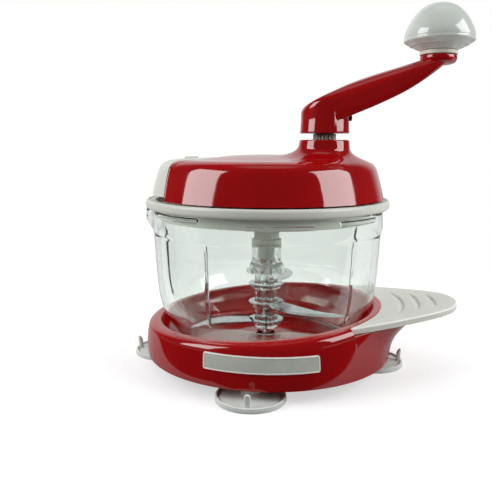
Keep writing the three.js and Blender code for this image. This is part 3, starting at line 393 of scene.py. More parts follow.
def rounded_profile(corners: Corners, steps: int = 5, closed: bool = False) -> Points:
    """Polyline with its corners rounded by quadratic curves that start and end a fillet away.

    Args:
        corners: (radius, height, fillet) triples.
        steps: Samples of one rounding.
        closed: Whether the last corner joins the first.

    Returns:
        Points, n by 2.
    """
    data = np.asarray(corners, float)
    place, fillet = data[:, :2], data[:, 2]
    before, after = np.roll(place, 1, axis=0) - place, np.roll(place, -1, axis=0) - place
    lines: list[Points] = []
    for i, point in enumerate(place):
        ends = not closed and i in (0, len(place) - 1)
        if ends or fillet[i] <= 0:
            lines.append(point[None])
            continue
        reach = [min(fillet[i], 0.49 * float(np.linalg.norm(side[i]))) for side in (before, after)]
        start = point + before[i] / np.linalg.norm(before[i]) * reach[0]
        end = point + after[i] / np.linalg.norm(after[i]) * reach[1]
        lines.append(bend(start, point, end, np.linspace(0.0, 1.0, steps + 1)[:, None]))
    return np.concatenate(lines)


def turns(count: int, extra: Sequence[float] = ()) -> Points:
    """Angles in radians once round, evenly spaced, with extra ones in degrees merged in.

    Args:
        count: Number of even ones.
        extra: The others.

    Returns:
        The angles in order.
    """
    even = np.linspace(0.0, 2 * math.pi, count, endpoint=False)
    merged = np.concatenate([even, np.radians(np.asarray(extra, float)) % (2 * math.pi)])
    return np.unique(np.round(merged, 7))


def wrap(turn: Points) -> Points:
    """The same turn, between minus half a round and half a round."""
    return np.arctan2(np.sin(turn), np.cos(turn))


def smoothstep(low: float, high: float, value: Points) -> Points:
    """3t^2 - 2t^3 with t the place of value between low and high."""
    t = np.clip((value - low) / (high - low), 0.0, 1.0)
    return t * t * (3 - 2 * t)


def band(value: Points, rise: Place, fall: Place) -> Points:
    """1 between a soft rise and a soft fall, each given by its start and end, and 0 outside."""
    return smoothstep(*rise, value) * (1 - smoothstep(*fall, value))


def hump(away: Points, half: float) -> Points:
    """cos^2 hump: 1 where away is 0, and 0 from half a width on."""
    return np.where(np.abs(away) < half, np.cos(away / half * math.pi / 2) ** 2, 0.0)


def polar(radius: Points, turn: Points, centre: Sequence[float] = MIDDLE) -> Points:
    """Plan points (cx + r cos a, cy + r sin a)."""
    return np.stack([centre[0] + radius * np.cos(turn), centre[1] + radius * np.sin(turn)], axis=-1)


def raised(flat: Points, height: Points) -> Points:
    """Adds heights to plan points; either spreads to the other."""
    return np.stack(np.broadcast_arrays(flat[..., 0], flat[..., 1], height), axis=-1)


def around(radius: Points, height: Points, turn: Points, centre: Sequence[float] = MIDDLE) -> Points:
    """Points at radii, heights and turns round an upright axis."""
    return raised(polar(radius, turn, centre), height)


def turn_about(points: Points, angle: float, centre: Sequence[float] = MIDDLE) -> Points:
    """Points turned about the upright and then moved.

    Args:
        points: The points.
        angle: The turn.
        centre: Where the axis goes.

    Returns:
        The moved points.
    """
    c, s = math.cos(angle), math.sin(angle)
    x, y = points[..., 0], points[..., 1]
    return np.stack([centre[0] + c * x - s * y, centre[1] + s * x + c * y, points[..., 2]], axis=-1)


def from_flap(points: Points) -> Points:
    """Turns (distance from the axis, along the flap's hinge, height) into the bowl's frame."""
    return turn_about(points, FLAP_TURN)


@dataclass
class Patch:
    """A grid of points.

    Attributes:
        points: Rows by columns by 3, mm.
        rows_close: Whether the last row joins the first.
        columns_close: Whether the last column joins the first.
        mark: Value for each point of the finish's mark, or nothing.
    """

    points: Points
    rows_close: bool = False
    columns_close: bool = False
    mark: Points | None = None

    def faces(self, start: int) -> Points:
        """Quads of the grid.

        Args:
            start: Number of its first point in the mesh.

        Returns:
            Four point numbers for each quad.
        """
        rows, columns = self.points.shape[:2]
        i, k = np.meshgrid(np.arange(rows - (not self.rows_close)),
                           np.arange(columns - (not self.columns_close)), indexing="ij")
        j, m = (i + 1) % rows, (k + 1) % columns
        corners = [i * columns + k, j * columns + k, j * columns + m, i * columns + m]
        return start + np.stack(corners, axis=-1).reshape(-1, 4)


def lathe(profile: Points, centre: Sequence[float] = MIDDLE, count: int = 192, closed: bool = False) -> Patch:
    """Turns a profile about an upright axis.

    Args:
        profile: (radius, height) points.
        centre: Place of the axis.
        count: Steps round.
        closed: Whether the profile closes on itself.

    Returns:
        The surface.
    """
    grid = around(profile[None, :, 0], profile[None, :, 1], turns(count)[:, None], centre)
    return Patch(grid, rows_close=True, columns_close=closed)


def edge_loop(grid: Points) -> Points:
    """Points once round the boundary of a grid."""
    return np.concatenate([grid[0, :-1], grid[:-1, -1], grid[-1, :0:-1], grid[:0:-1, 0]])


def pillow(top: Points, bottom: Points, mark: Points | None = None, rim: float = 0.0) -> list[Patch]:
    """Closes two grids of one layout with a strip round their boundary.

    Row t of the strip is (1 - t) times the upper boundary plus t times the lower one.

    Args:
        top: Upper grid.
        bottom: Lower grid.
        mark: Values for the upper grid's points.
        rim: Value of the mark for the strip's two edges, which paints an edge highlight there.

    Returns:
        The three surfaces.
    """
    t = np.array([0.0, 0.14, 0.5, 0.8, 1.0])[:, None, None]
    strip = (1 - t) * edge_loop(top) + t * edge_loop(bottom)
    # Painted edge highlight along the strip's two edges, as strong as rim.
    painted_highlight = np.broadcast_to(np.array([1.0, 0.0, 0.0, 0.0, 1.0])[:, None] * rim, strip.shape[:2])
    return [Patch(top, mark=mark), Patch(bottom), Patch(strip, columns_close=True, mark=painted_highlight)]


def capped(grid: Points) -> Points:
    """Closes the first and the last row of a grid on their middles."""
    poles = [np.broadcast_to(row.mean(axis=0), row.shape)[None] for row in (grid[0], grid[-1])]
    return np.concatenate([poles[0], grid, poles[1]])


def slab(outline: Points, low: float, high: float, edge: float,
         to_world: Callable[[Points], Points]) -> Patch:
    """Plate of a convex outline with rounded edges.

    Row k is the outline moved inwards by edge(1 - sin b) at depth edge(1 - cos b) from a face.

    Args:
        outline: Convex closed outline, n by 2, without the repeated point.
        low: Height of the lower face.
        high: Height of the upper face.
        edge: Size of the rounding.
        to_world: Turns (a, b, height) points into the bowl's frame.

    Returns:
        The closed surface.
    """
    along = np.roll(outline, -1, axis=0) - np.roll(outline, 1, axis=0)
    normal = np.stack([along[:, 1], -along[:, 0]], axis=1) / np.linalg.norm(along, axis=1)[:, None]
    if np.sum(normal * (outline - outline.mean(axis=0))) < 0:
        normal = -normal
    turn = np.linspace(0.0, math.pi / 2, 6)
    sine, cosine = edge * (1 - np.sin(turn)), edge * (1 - np.cos(turn))
    inset = np.concatenate([sine, cosine])[:, None]
    height = np.concatenate([low + cosine, high - sine])[:, None]
    return Patch(to_world(capped(raised(outline[None] - normal[None] * inset[..., None], height))),
                 columns_close=True)


def make_piece(name: str, patches: Sequence[Patch], slot: Slot, mark: str = "",
               sharp: float = SHARP) -> bpy.types.Object:
    """Joins surfaces into one smooth mesh object of the frame, with closed seams and outward faces.

    Args:
        name: Name of the piece.
        patches: Its surfaces.
        slot: Material slot whose finish it takes.
        mark: Name of the point attribute that the surfaces' marks fill.
        sharp: Angle in degrees past which an edge stays sharp.

    Returns:
        The object.
    """
    flat = [patch.points.reshape(-1, 3) for patch in patches]
    starts = np.concatenate([[0], np.cumsum([len(p) for p in flat])[:-1]])
    points = np.concatenate(flat) / MM + np.array([BOWL_AXIS, 0.0, 0.0])
    faces = np.concatenate([patch.faces(int(start)) for patch, start in zip(patches, starts)])
    mesh = bpy.data.meshes.new(name)
    mesh.from_pydata(points.tolist(), [], faces.tolist())
    if mark:
        values = [np.zeros(len(f)) if p.mark is None else p.mark.ravel() for p, f in zip(patches, flat)]
        mesh.attributes.new(mark, "FLOAT", "POINT").data.foreach_set("value", np.concatenate(values))
    clean_mesh(mesh, sharp)
    mesh.materials.append(MATERIALS[slot])
    piece = bpy.data.objects.new(name, mesh)
    bpy.context.scene.collection.objects.link(piece)
    LOG.info("made %s, %d faces", name, len(mesh.polygons))
    return piece


def clean_mesh(mesh: bpy.types.Mesh, sharp: float) -> None:
    """Merges doubles, turns faces outwards and shades the mesh smooth.

    Args:
        mesh: The mesh.
        sharp: Angle in degrees past which an edge stays sharp.
    """
    work = bmesh.new()
    work.from_mesh(mesh)
    bmesh.ops.remove_doubles(work, verts=work.verts, dist=2e-6)
    bmesh.ops.recalc_face_normals(work, faces=work.faces)
    work.to_mesh(mesh)
    work.free()
    mesh.shade_smooth()
    mesh.set_sharp_from_angle(angle=math.radians(sharp))


def thicken(piece: bpy.types.Object, wall: float, sharp: float) -> None:
    """Gives a surface a wall that grows inwards.

    Args:
        piece: The surface.
        wall: Thickness of the wall.
        sharp: Angle in degrees past which an edge stays sharp.
    """
    solid = piece.modifiers.new("wall", "SOLIDIFY")
    solid.thickness = wall / MM
    solid.offset = -1.0
    solid.use_even_offset = True
    settle(piece, sharp)


def settle(piece: bpy.types.Object, sharp: float = SHARP) -> None:
    """Applies the modifiers of a piece to its mesh.

    Args:
        piece: The piece.
        sharp: Angle in degrees past which an edge stays sharp.
    """
    graph = bpy.context.evaluated_depsgraph_get()
    old = piece.data
    piece.data = bpy.data.meshes.new_from_object(piece.evaluated_get(graph))
    piece.data.name = old.name
    piece.modifiers.clear()
    bpy.data.meshes.remove(old)
    clean_mesh(piece.data, sharp)


def carve(piece: bpy.types.Object, cutter: bpy.types.Object) -> None:
    """Cuts a volume out of a piece.

    Args:
        piece: The piece.
        cutter: Object with the volume, which is removed afterwards.
    """
    cutting = piece.modifiers.new("carve", "BOOLEAN")
    cutting.operation = "DIFFERENCE"
    cutting.solver = "EXACT"
    cutting.object = cutter
    settle(piece)
    bpy.data.objects.remove(cutter)


def dress_nodes(slot: Slot, *names: str) -> None:
    """Gives CAD nodes a material.

    Args:
        slot: Slot of the material.
        *names: Names of the nodes.
    """
    for name in names:
        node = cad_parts[name]
        node.data.materials.clear()
        node.data.materials.append(MATERIALS[slot])


@dataclass
class Stand:
    """Red base with its lip and well, the palm rest, the name plate and four suction cups.

    Attributes:
        bottom: Height of the wall's foot.
        radius: Of the wall at its widest without the flare.
        lean: Terms of the wall's lean inwards, each a reach and a power of the height's share.
        toe: The same for the wall's draw inwards at its foot.
        flare: The same for its reach outwards under the palm rest.
        flare_half: Half angle of the flare.
        middle: Place along x of the wall's middle at its foot, and its shift up to the lip.
        lip: Height of the lip plane on the axis, and its rise along x.
        lip_round: Rounding of the lip's outer edge.
        lip_middle: Place along x of the middle of the lip's inner steps.
        well_floor: Height of the well's floor.
        well: Its side, as (radius, share of the rise to the lip).
        plate_seat: Height of the face that the floor plate closes.
        plate_middle: Place along x of the floor plate's middle.
        palm_half: Half angle of the palm rest's inner edge.
        palm_inner: Radius of that edge.
        palm_thick: Thickness of the palm rest.
        palm_round: Rounding of its upper edge, and of its lower edge.
        grips: Crescent grips, each the place along x of its vertex and its half length.
        grip_size: Width and depth of a grip.
        plate_turn: Turn of the name plate's middle in degrees, and its half angle.
        plate_radius: Distance of the name plate from the axis.
        plate_half: Half its height.
        plate_height: Height of its middle.
        plate_corner: Radius of its corners.
        cup_circle: Radius on which the cups stand.
        cup_turn: Turn of the first cup.
    """

    bottom: float = 9.65
    radius: float = 92.9
    lean: tuple[Place, ...] = ((3.0, 2.4), (3.6, 24.0))
    toe: Place = (0.6, 8.0)
    flare: Place = (36.0, 2.6)
    flare_half: float = math.radians(47.0)
    middle: Place = (1.7, 0.9)
    lip: Place = (40.0, 0.0767)
    lip_round: float = 0.8
    lip_middle: float = 0.8
    well_floor: float = 14.5
    well: tuple[Place, ...] = ((81.3, 0.97), (80.4, 0.7), (78.05, 0.42), (74.0, 0.22), (70.35, 0.07),
                               (67.0, 0.0), (63.0, 0.0))
    plate_seat: float = 12.3
    plate_middle: float = 2.1
    palm_half: float = math.radians(46.0)
    palm_inner: float = 86.5
    palm_thick: float = 4.8
    palm_round: Place = (1.3, 0.5)
    grips: tuple[Place, ...] = ((103.5, 33.0), (115.0, 26.0), (126.3, 18.5))
    grip_size: Place = (5.5, 1.7)
    plate_turn: Place = (271.4, 23.8)
    plate_radius: float = 92.5
    plate_half: float = 5.5
    plate_height: float = 27.0
    plate_corner: float = 1.6
    cup_circle: float = 81.1
    cup_turn: float = math.radians(-2.5)

    def lip_plane(self, x: Points) -> Points:
        """Height of the sloping lip plane at x."""
        return self.lip[0] + self.lip[1] * x

    def wall(self, turn: Points, share: Points, out: float = 0.0) -> Points:
        """Outer wall of the base.

        With s the share of the height and f the flare's cos^2 hump, the radius is
        92.9 - (1 - f)(3 s^2.4 + 3.6 s^24) + 36 f s^2.6 - 0.6(1 - s)^8.

        Args:
            turn: Turns.
            share: Shares of the wall's height.
            out: Distance outwards.

        Returns:
            Points.
        """
        flared = hump(wrap(turn), self.flare_half)
        lean = sum(reach * share**power for reach, power in self.lean)
        toe = self.toe[0] * np.clip(1 - share, 0, 1) ** self.toe[1]
        flare = self.flare[0] * share ** self.flare[1]
        radius = self.radius - (1 - flared) * lean + flared * flare - toe + out
        x = self.middle[0] - self.middle[1] * share**2 + radius * np.cos(turn)
        height = self.bottom + share * (self.lip_plane(x) - self.bottom)
        return np.stack([x, radius * np.sin(turn), height], axis=-1)

    def shell(self) -> None:
        """Base body: one profile carried round, stepped down under the palm rest."""
        half = math.degrees(self.palm_half) + 0.6
        turn = turns(300, [side * half + near for side in (1, -1) for near in (-0.02, 0.02)])[:, None]
        under = (np.abs(wrap(turn)) < math.radians(half)).astype(float)
        bed = self.palm_thick + 0.3
        drop = self.lip_round + under * bed

        def lip_height(radius: Points) -> Points:
            """Height of the lip plane at a distance from the lip's middle."""
            return self.lip_plane(self.lip_middle + radius * np.cos(turn))

        def lip_radius(points: Points) -> Points:
            """Distance from the lip's middle."""
            return np.hypot(points[..., 0] - self.lip_middle, points[..., 1])

        def ledge(radius: Points, lowered: Points) -> Points:
            """Points round the lip's middle, lowered from the lip plane."""
            return around(radius, lip_height(radius) - lowered, turn, (self.lip_middle, 0.0))

        edge = self.wall(turn, np.ones((1, 1)))
        tall = self.lip_plane(edge[..., 0]) - self.bottom
        outer = self.wall(turn, (1 - drop / tall) * (1 - (1 - np.linspace(0.0, 1.0, 40)[None]) ** 1.6))
        start = lip_radius(outer[:, -1:])
        corner = np.where(under > 0, np.maximum(start + 0.3, self.palm_inner), lip_radius(edge))
        inwards = corner - np.where(under > 0, 0.8, 1.0)
        t = np.linspace(0.0, 1.0, 7)[None, 1:]
        face = lip_height(corner) - (drop - self.lip_round)
        shoulder = around(bend(start, corner, inwards, t), bend(outer[:, -1:, 2], face, face, t), turn,
                          (self.lip_middle, 0.0))
        step = ledge(np.where(under > 0, np.array([[86.25, 86.25, 86.15, 85.95]]), 85.1),
                     under * np.array([[bed, 0.6, 0.15, 0.0]]))
        t = np.linspace(0.0, 1.0, 6)[None]
        top = ledge(np.concatenate([np.array([[85.0, 83.5]]), 82.1 - 0.8 * (1 - (1 - t) ** 2)], axis=1),
                    np.concatenate([np.zeros((1, 2)), 0.8 * t**2], axis=1))
        wellside = smooth_through(self.well, 26)[None]
        rise = self.lip_plane(self.well[0][0] * np.cos(turn)) - self.well_floor
        well = around(wellside[..., 0], self.well_floor + wellside[..., 1] * rise, turn)
        under_side = rounded_profile([
            (60.0, self.well_floor, 0), (12.0, self.well_floor, 0.8), (12.0, self.plate_seat, 0),
            (88.2, self.plate_seat, 0), (88.2, 9.8, 0.6), (90.6, self.bottom, 0)])[None]
        rest = around(under_side[..., 0], under_side[..., 1], turn)
        rest[..., 0] += self.plate_middle * (under_side[..., 0] > 80)
        grid = np.concatenate([outer, shoulder, step, top, well, rest], axis=1)
        piece = make_piece("base_body", [Patch(grid, rows_close=True, columns_close=True)], Slot.RED)
        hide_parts("base_shell")
        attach(piece, "base")

    def from_outline(self, flat: Points) -> Points:
        """Distance of plan points from the outline of their own grid.

        Args:
            flat: Grid of plan points.

        Returns:
            The distances.
        """
        loop = edge_loop(flat)
        near = np.full(flat.shape[:2], 1e9)
        for start, end in zip(loop, np.roll(loop, -1, axis=0)):
            side = end - start
            size = float(side @ side)
            if size < 1e-12:
                continue
            t = np.clip(((flat - start) @ side) / size, 0.0, 1.0)
            near = np.minimum(near, np.linalg.norm(flat - start - t[..., None] * side, axis=2))
        return near

    def grip_depth(self, flat: Points, vertex: float, length: float) -> Points:
        """Depth of a crescent grip: 1.7 w (1 - q / 5.5w)^1.5 at q inside its arc, w from 1 to 0 along it.

        Args:
            flat: Plan points.
            vertex: Place along x of its arc's middle.
            length: Its half length.

        Returns:
            The depths.
        """
        x, y = flat[..., 0], flat[..., 1]
        arc = 74.0 - 0.55 * (vertex - self.grips[0][0])
        centre = vertex - arc
        taper = np.clip(1 - (np.arctan2(y, x - centre) * arc / length) ** 2, 0.0, 1.0) ** 0.7
        inside = arc - np.hypot(x - centre, y)
        width = self.grip_size[0] * taper + 1e-6
        slope = np.clip(1 - inside / width, 0.0, 1.0) ** 1.5
        return self.grip_size[1] * taper * slope * smoothstep(-0.45, 0.35, inside)

    def palm_rest(self) -> None:
        """Grey palm rest: the lip plane less the rounding near its outline and its crescent grips."""
        inner = polar(self.palm_inner, self.palm_half * np.linspace(-1.0, 1.0, 241))
        half = [(61.6, 63.6), (66.7, 61.4), (82.4, 54.8), (97.0, 47.4), (112.2, 39.0), (126.4, 29.6),
                (136.0, 19.9), (140.7, 9.3), (142.0, 0.0)]
        outer = smooth_through([(x, -y) for x, y in half] + half[-2::-1], 241)
        v = (0.5 - 0.5 * np.cos(np.linspace(0.0, math.pi, 96)))[None, :, None]
        flat = inner[:, None] + v * (outer - inner)[:, None]
        near = self.from_outline(flat)

        def rounding(size: float) -> Points:
            """Drop of a quarter circle of a size near the outline."""
            return size - np.sqrt(size**2 - np.clip(size - near, 0.0, size) ** 2 * 0.98)

        grips = sum(self.grip_depth(flat, *grip) for grip in self.grips)
        plane = self.lip_plane(flat[..., 0])
        top = raised(flat, plane - rounding(self.palm_round[0]) - grips)
        bottom = raised(flat, plane - self.palm_thick + rounding(self.palm_round[1]))
        # Painted highlight: the top turns pale within a millimetre of the outline, and the side strip's edges
        # too.
        painted_highlight = smoothstep(1.0, 0.2, near)
        piece = make_piece("palm_grip", pillow(top, bottom, painted_highlight, 1.0), Slot.GREY, "edge", 50)
        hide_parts("palm_rest")
        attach(piece, "base")

    def name_plate(self) -> None:
        """Bare plate that follows the wall, with a raised pale border."""
        middle, spread = self.plate_turn
        u = np.linspace(-1.0, 1.0, 201)[:, None]
        v = np.linspace(-1.0, 1.0, 41)[None]
        turn = np.radians(middle + spread * u)
        length = np.radians(spread) * self.plate_radius
        along = np.abs(u) * length
        corner = self.plate_corner
        past = np.clip(along - (length - corner), 0.0, corner)
        half = self.plate_half - (corner - np.sqrt(np.maximum(corner**2 - past**2, 0.0)))
        near = np.minimum(half - np.abs(half * v), length - along + 0 * v)
        border = 1 - smoothstep(0.75, 1.0, near)
        tall = self.lip_plane(92.2 * np.cos(turn)) - self.bottom
        share = (self.plate_height + half * v - self.bottom) / tall
        proud = 1.0 + 0.3 * border - 0.35 * (1 - smoothstep(0.0, 0.35, near))
        front = self.wall(turn, share) + raised(polar(proud, turn), 0.0)
        patches = pillow(front, self.wall(turn, share, 0.2), border)
        piece = make_piece("bare_plate", patches, Slot.PLATE, "edge", 50)
        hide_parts("name_plate")
        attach(piece, "base")

    def cup_tab(self) -> Patch:
        """Release tab of a cup, seen from the cup's own axis: a squared section along a bent line.

        Returns:
            The closed surface.
        """
        rise = np.linspace(0.0, 1.0, 22)
        out = smooth_through([(21.75, 1.5), (21.75, 5.5), (21.9, 8.8), (22.2, 11.4)], 22)[:, None]
        back = smooth_through([(18.7, 1.5), (18.7, 5.5), (19.2, 8.8), (20.9, 11.8)], 22)[:, None]
        ring = np.linspace(0.0, 2 * math.pi, 28, endpoint=False)
        deep, wide = (np.sign(side) * np.abs(side) ** 0.5 for side in (np.cos(ring), np.sin(ring)))
        middle, depth = (out + back) / 2, (out - back) / 2
        width = 2.0 * np.sqrt(np.clip(1 - np.clip(rise - 0.8, 0, 1) ** 2 * 18, 0.05, 1))[:, None]
        grid = capped(np.stack([middle[..., 0] + depth[..., 0] * deep, width * wide,
                                middle[..., 1] + depth[..., 1] * deep], axis=-1))
        # Painted highlight down the tab's two sides.
        painted_highlight = np.broadcast_to(smoothstep(0.75, 0.95, np.abs(wide)), grid.shape[:2])
        return Patch(grid, columns_close=True, mark=painted_highlight)

    def cup(self, name: str, turn: float) -> None:
        """One suction cup: a turned dish with its release tab.

        Args:
            name: CAD node that it stands for.
            turn: Turn of the cup on its circle.
        """
        centre = polar(self.cup_circle, turn)
        profile = rounded_profile([
            (0, 1.3, 0), (17.35, 1.3, 1.0), (19.15, 0.0, 0.6), (23.4, 0.0, 0.35), (23.55, 1.0, 0.5),
            (23.2, 3.4, 0.5), (21.9, 3.4, 0.35), (21.75, 2.3, 0.3), (19.6, 2.15, 0.3), (19.3, 2.5, 0.3),
            (11.5, 3.1, 1.5), (6.6, 4.0, 1.0), (5.5, 5.4, 0.8), (5.5, 9.7, 0.4), (0, 9.7, 0)], 6)
        body = lathe(profile, centre, 144)
        # Painted highlight: the top of the cup's outer rim is pale.
        rim = (profile[:, 0] > 21.7) & (profile[:, 1] > 3.2)
        body.mark = np.broadcast_to(rim.astype(float), body.points.shape[:2])
        tab = self.cup_tab()
        tab.points = turn_about(turn_about(tab.points, math.radians(2.8)), turn, centre)
        piece = make_piece(name.replace("foot", "cup"), [body, tab], Slot.RUBBER, "edge", 55)
        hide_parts(name)
        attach(piece, "base")

    def floor_plate(self) -> None:
        """Red plate that closes the base from below, with a stiffening rib."""
        profile = rounded_profile([
            (0, 9.9, 0), (52.0, 9.9, 0.5), (52.6, 9.3, 0.4), (54.2, 9.3, 0.4), (54.8, 9.9, 0.5),
            (87.4, 9.9, 0.4), (88.0, 10.5, 0.4), (88.0, 12.0, 0), (0, 12.0, 0)])
        piece = make_piece("floor_plate", [lathe(profile, (self.plate_middle, 0.0), 240)], Slot.RED)
        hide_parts("base_plate")
        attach(piece, "base")

    def build(self) -> None:
        """Builds and dresses every piece of the base."""
        self.shell()
        self.palm_rest()
        self.name_plate()
        self.floor_plate()
        for k, name in enumerate(("foot_right", "foot_back", "foot_left", "foot_front")):
            self.cup(name, self.cup_turn + k * math.pi / 2)
        screws = [f"base_screw_{i}" for i in range(1, 5)]
        dress_nodes(Slot.STEEL, "palm_screw_front", "palm_screw_back", *screws)


@dataclass
class Bowl:
    """Clear bowl with its pour spout, track bars and inner ribs.

    Attributes:
        radius: Of the collar.
        low: Height of its foot.
        height: From foot to rim.
        wall: Thickness of the wall.
        floor: Height of the floor over the foot.
        curve: Outer wall below the collar, in shares of radius and height.
        spout_turn: Turn of the pour spout.
        spout_half: Its half angle.
        spout_reach: How far it bulges.
        spout_fade: Depths under the rim down to which it is full and at which it has gone.
        bars: Track bars as (from, to) in degrees and height share.
        rib_turns: Places of the inner ribs in degrees.
        rib_half: Half width of a rib.
        ridge: Height of bars and ribs over the wall.
    """

    radius: float = 86.0
    low: float = 14.8
    height: float = 103.4
    wall: float = 2.5
    floor: float = 3.3
    curve: tuple[Place, ...] = ((0.728, 0.03), (0.8, 0.12), (0.868, 0.2), (0.913, 0.275), (0.95, 0.4),
                                (0.972, 0.64), (0.984, 0.835))
    spout_turn: float = math.radians(185.0)
    spout_half: float = math.radians(15.0)
    spout_reach: float = 5.6
    spout_fade: Place = (7.125, 19.0)
    bars: tuple[tuple[float, float, float], ...] = (
        (209.5, 243.5, 0.975), (265.5, 294.5, 0.947), (307.5, 333.5, 0.96))
    rib_turns: tuple[float, ...] = (30.0, 102.0, 174.0, 246.0, 318.0)
    rib_half: float = 1.5
    ridge: float = 1.5

    def section(self) -> tuple[Points, Points]:
        """Profile from the middle of the underside over the rim to the middle of the floor.

        Returns:
            The profile, n by 2, and 1 where a point is on the outer wall, -1 on the inner, else 0.
        """
        radius, low, height, wall = self.radius, self.low, self.height, self.wall
        curve = smooth_through(self.curve, 60) * (radius, height) + (0.0, low)
        foot = rounded_profile([(0, low + 0.8, 0), (57.2, low + 0.8, 0.8), (58.0, low, 0.4), (61.2, low, 0.5),
                                (61.7, low + 1.2, 0.5), (*curve[0], 0)], 4)
        rim, top, ledge = radius * 0.991, low + height, low + 0.87 * height
        collar = rounded_profile([
            (*curve[-1], 0), (radius - 1.25, low + 0.837 * height, 0.4), (radius, ledge, 2.5),
            (rim, top, 0.8), (rim - wall, top, 0.8), (radius - wall, ledge, 1.2),
            (curve[-1, 0] - wall + 0.1, low + 0.835 * height, 0)], 6)
        slope = np.gradient(curve, axis=0)
        normal = np.stack([slope[:, 1], -slope[:, 0]], axis=1) / np.linalg.norm(slope, axis=1)[:, None]
        floor = low + self.floor
        inner = (curve - wall * normal)[::-1]
        inner = inner[inner[:, 1] > floor + 0.5]
        hub = rounded_profile([
            (*inner[-1], 0), (inner[-1, 0] - 4.5, floor, 5.0), (7.0, floor, 1.5), (6.0, floor + 6.2, 0.8),
            (3.1, floor + 6.2, 0.5), (2.9, floor + 4.0, 0), (0, floor + 4.0, 0)], 6)
        half = len(collar) // 2
        outer = np.concatenate([curve, collar[:half]])
        up = resample(outer, 96, np.where(outer[1:, 1] > low + 0.8 * height, 3.0, 1.0))
        down = resample(np.concatenate([collar[half:], inner]), 58)
        line = np.concatenate([foot[:-1], up, down, hub[1:]])
        side = np.repeat([0.0, 1.0, -1.0, 0.0], [len(foot) - 1, len(up), len(down), len(hub) - 1])
        return line, side

    def shell(self) -> None:
        """Bowl surface: its profile with the spout's hump, the bars outside and the ribs inside."""
        line, side = self.section()
        near = (-1.5, -1.0, -0.75, -0.5, -0.25, 0.0, 0.25, 0.5, 0.75, 1.0, 1.5)
        extra = [rib + step for rib in self.rib_turns for step in near]
        extra += [end + step for bar in self.bars for end in bar[:2] for step in (-0.5, -0.25, 0.25, 0.5)]
        turn = turns(380, extra)[:, None]
        degrees = np.degrees(turn)
        height = line[None, :, 1]
        depth = self.low + self.height - height
        full = 1 - smoothstep(*self.spout_fade, depth)
        spout = self.spout_reach * hump(wrap(turn - self.spout_turn), self.spout_half)
        radius = line[None, :, 0] + spout * full
        for start, end, share in self.bars:
            box = band(degrees, (start - 0.5, start + 0.5), (end - 0.5, end + 0.5))
            tall = band(height - (self.low + share * self.height), (-1.6, -1.2), (1.2, 1.6))
            radius = radius + self.ridge * box * tall * (side[None] > 0)
        ends = band((height - self.low) / self.height, (0.28, 0.34), (0.78, 0.83))
        for rib in self.rib_turns:
            across = np.abs(degrees - rib) / math.degrees(self.rib_half / self.radius)
            radius = radius - self.ridge * smoothstep(0.0, 1.0, 1 - across) * ends * (side[None] < 0)
        grid = around(radius, height, turn)
        piece = make_piece("bowl_wall", [Patch(grid, rows_close=True)], Slot.BOWL, sharp=45)
        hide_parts("bowl")
        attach(piece, "bowl")

    def build(self) -> None:
        """Builds and dresses the bowl."""
        self.shell()
        dress_nodes(Slot.STEEL, "bowl_pin")


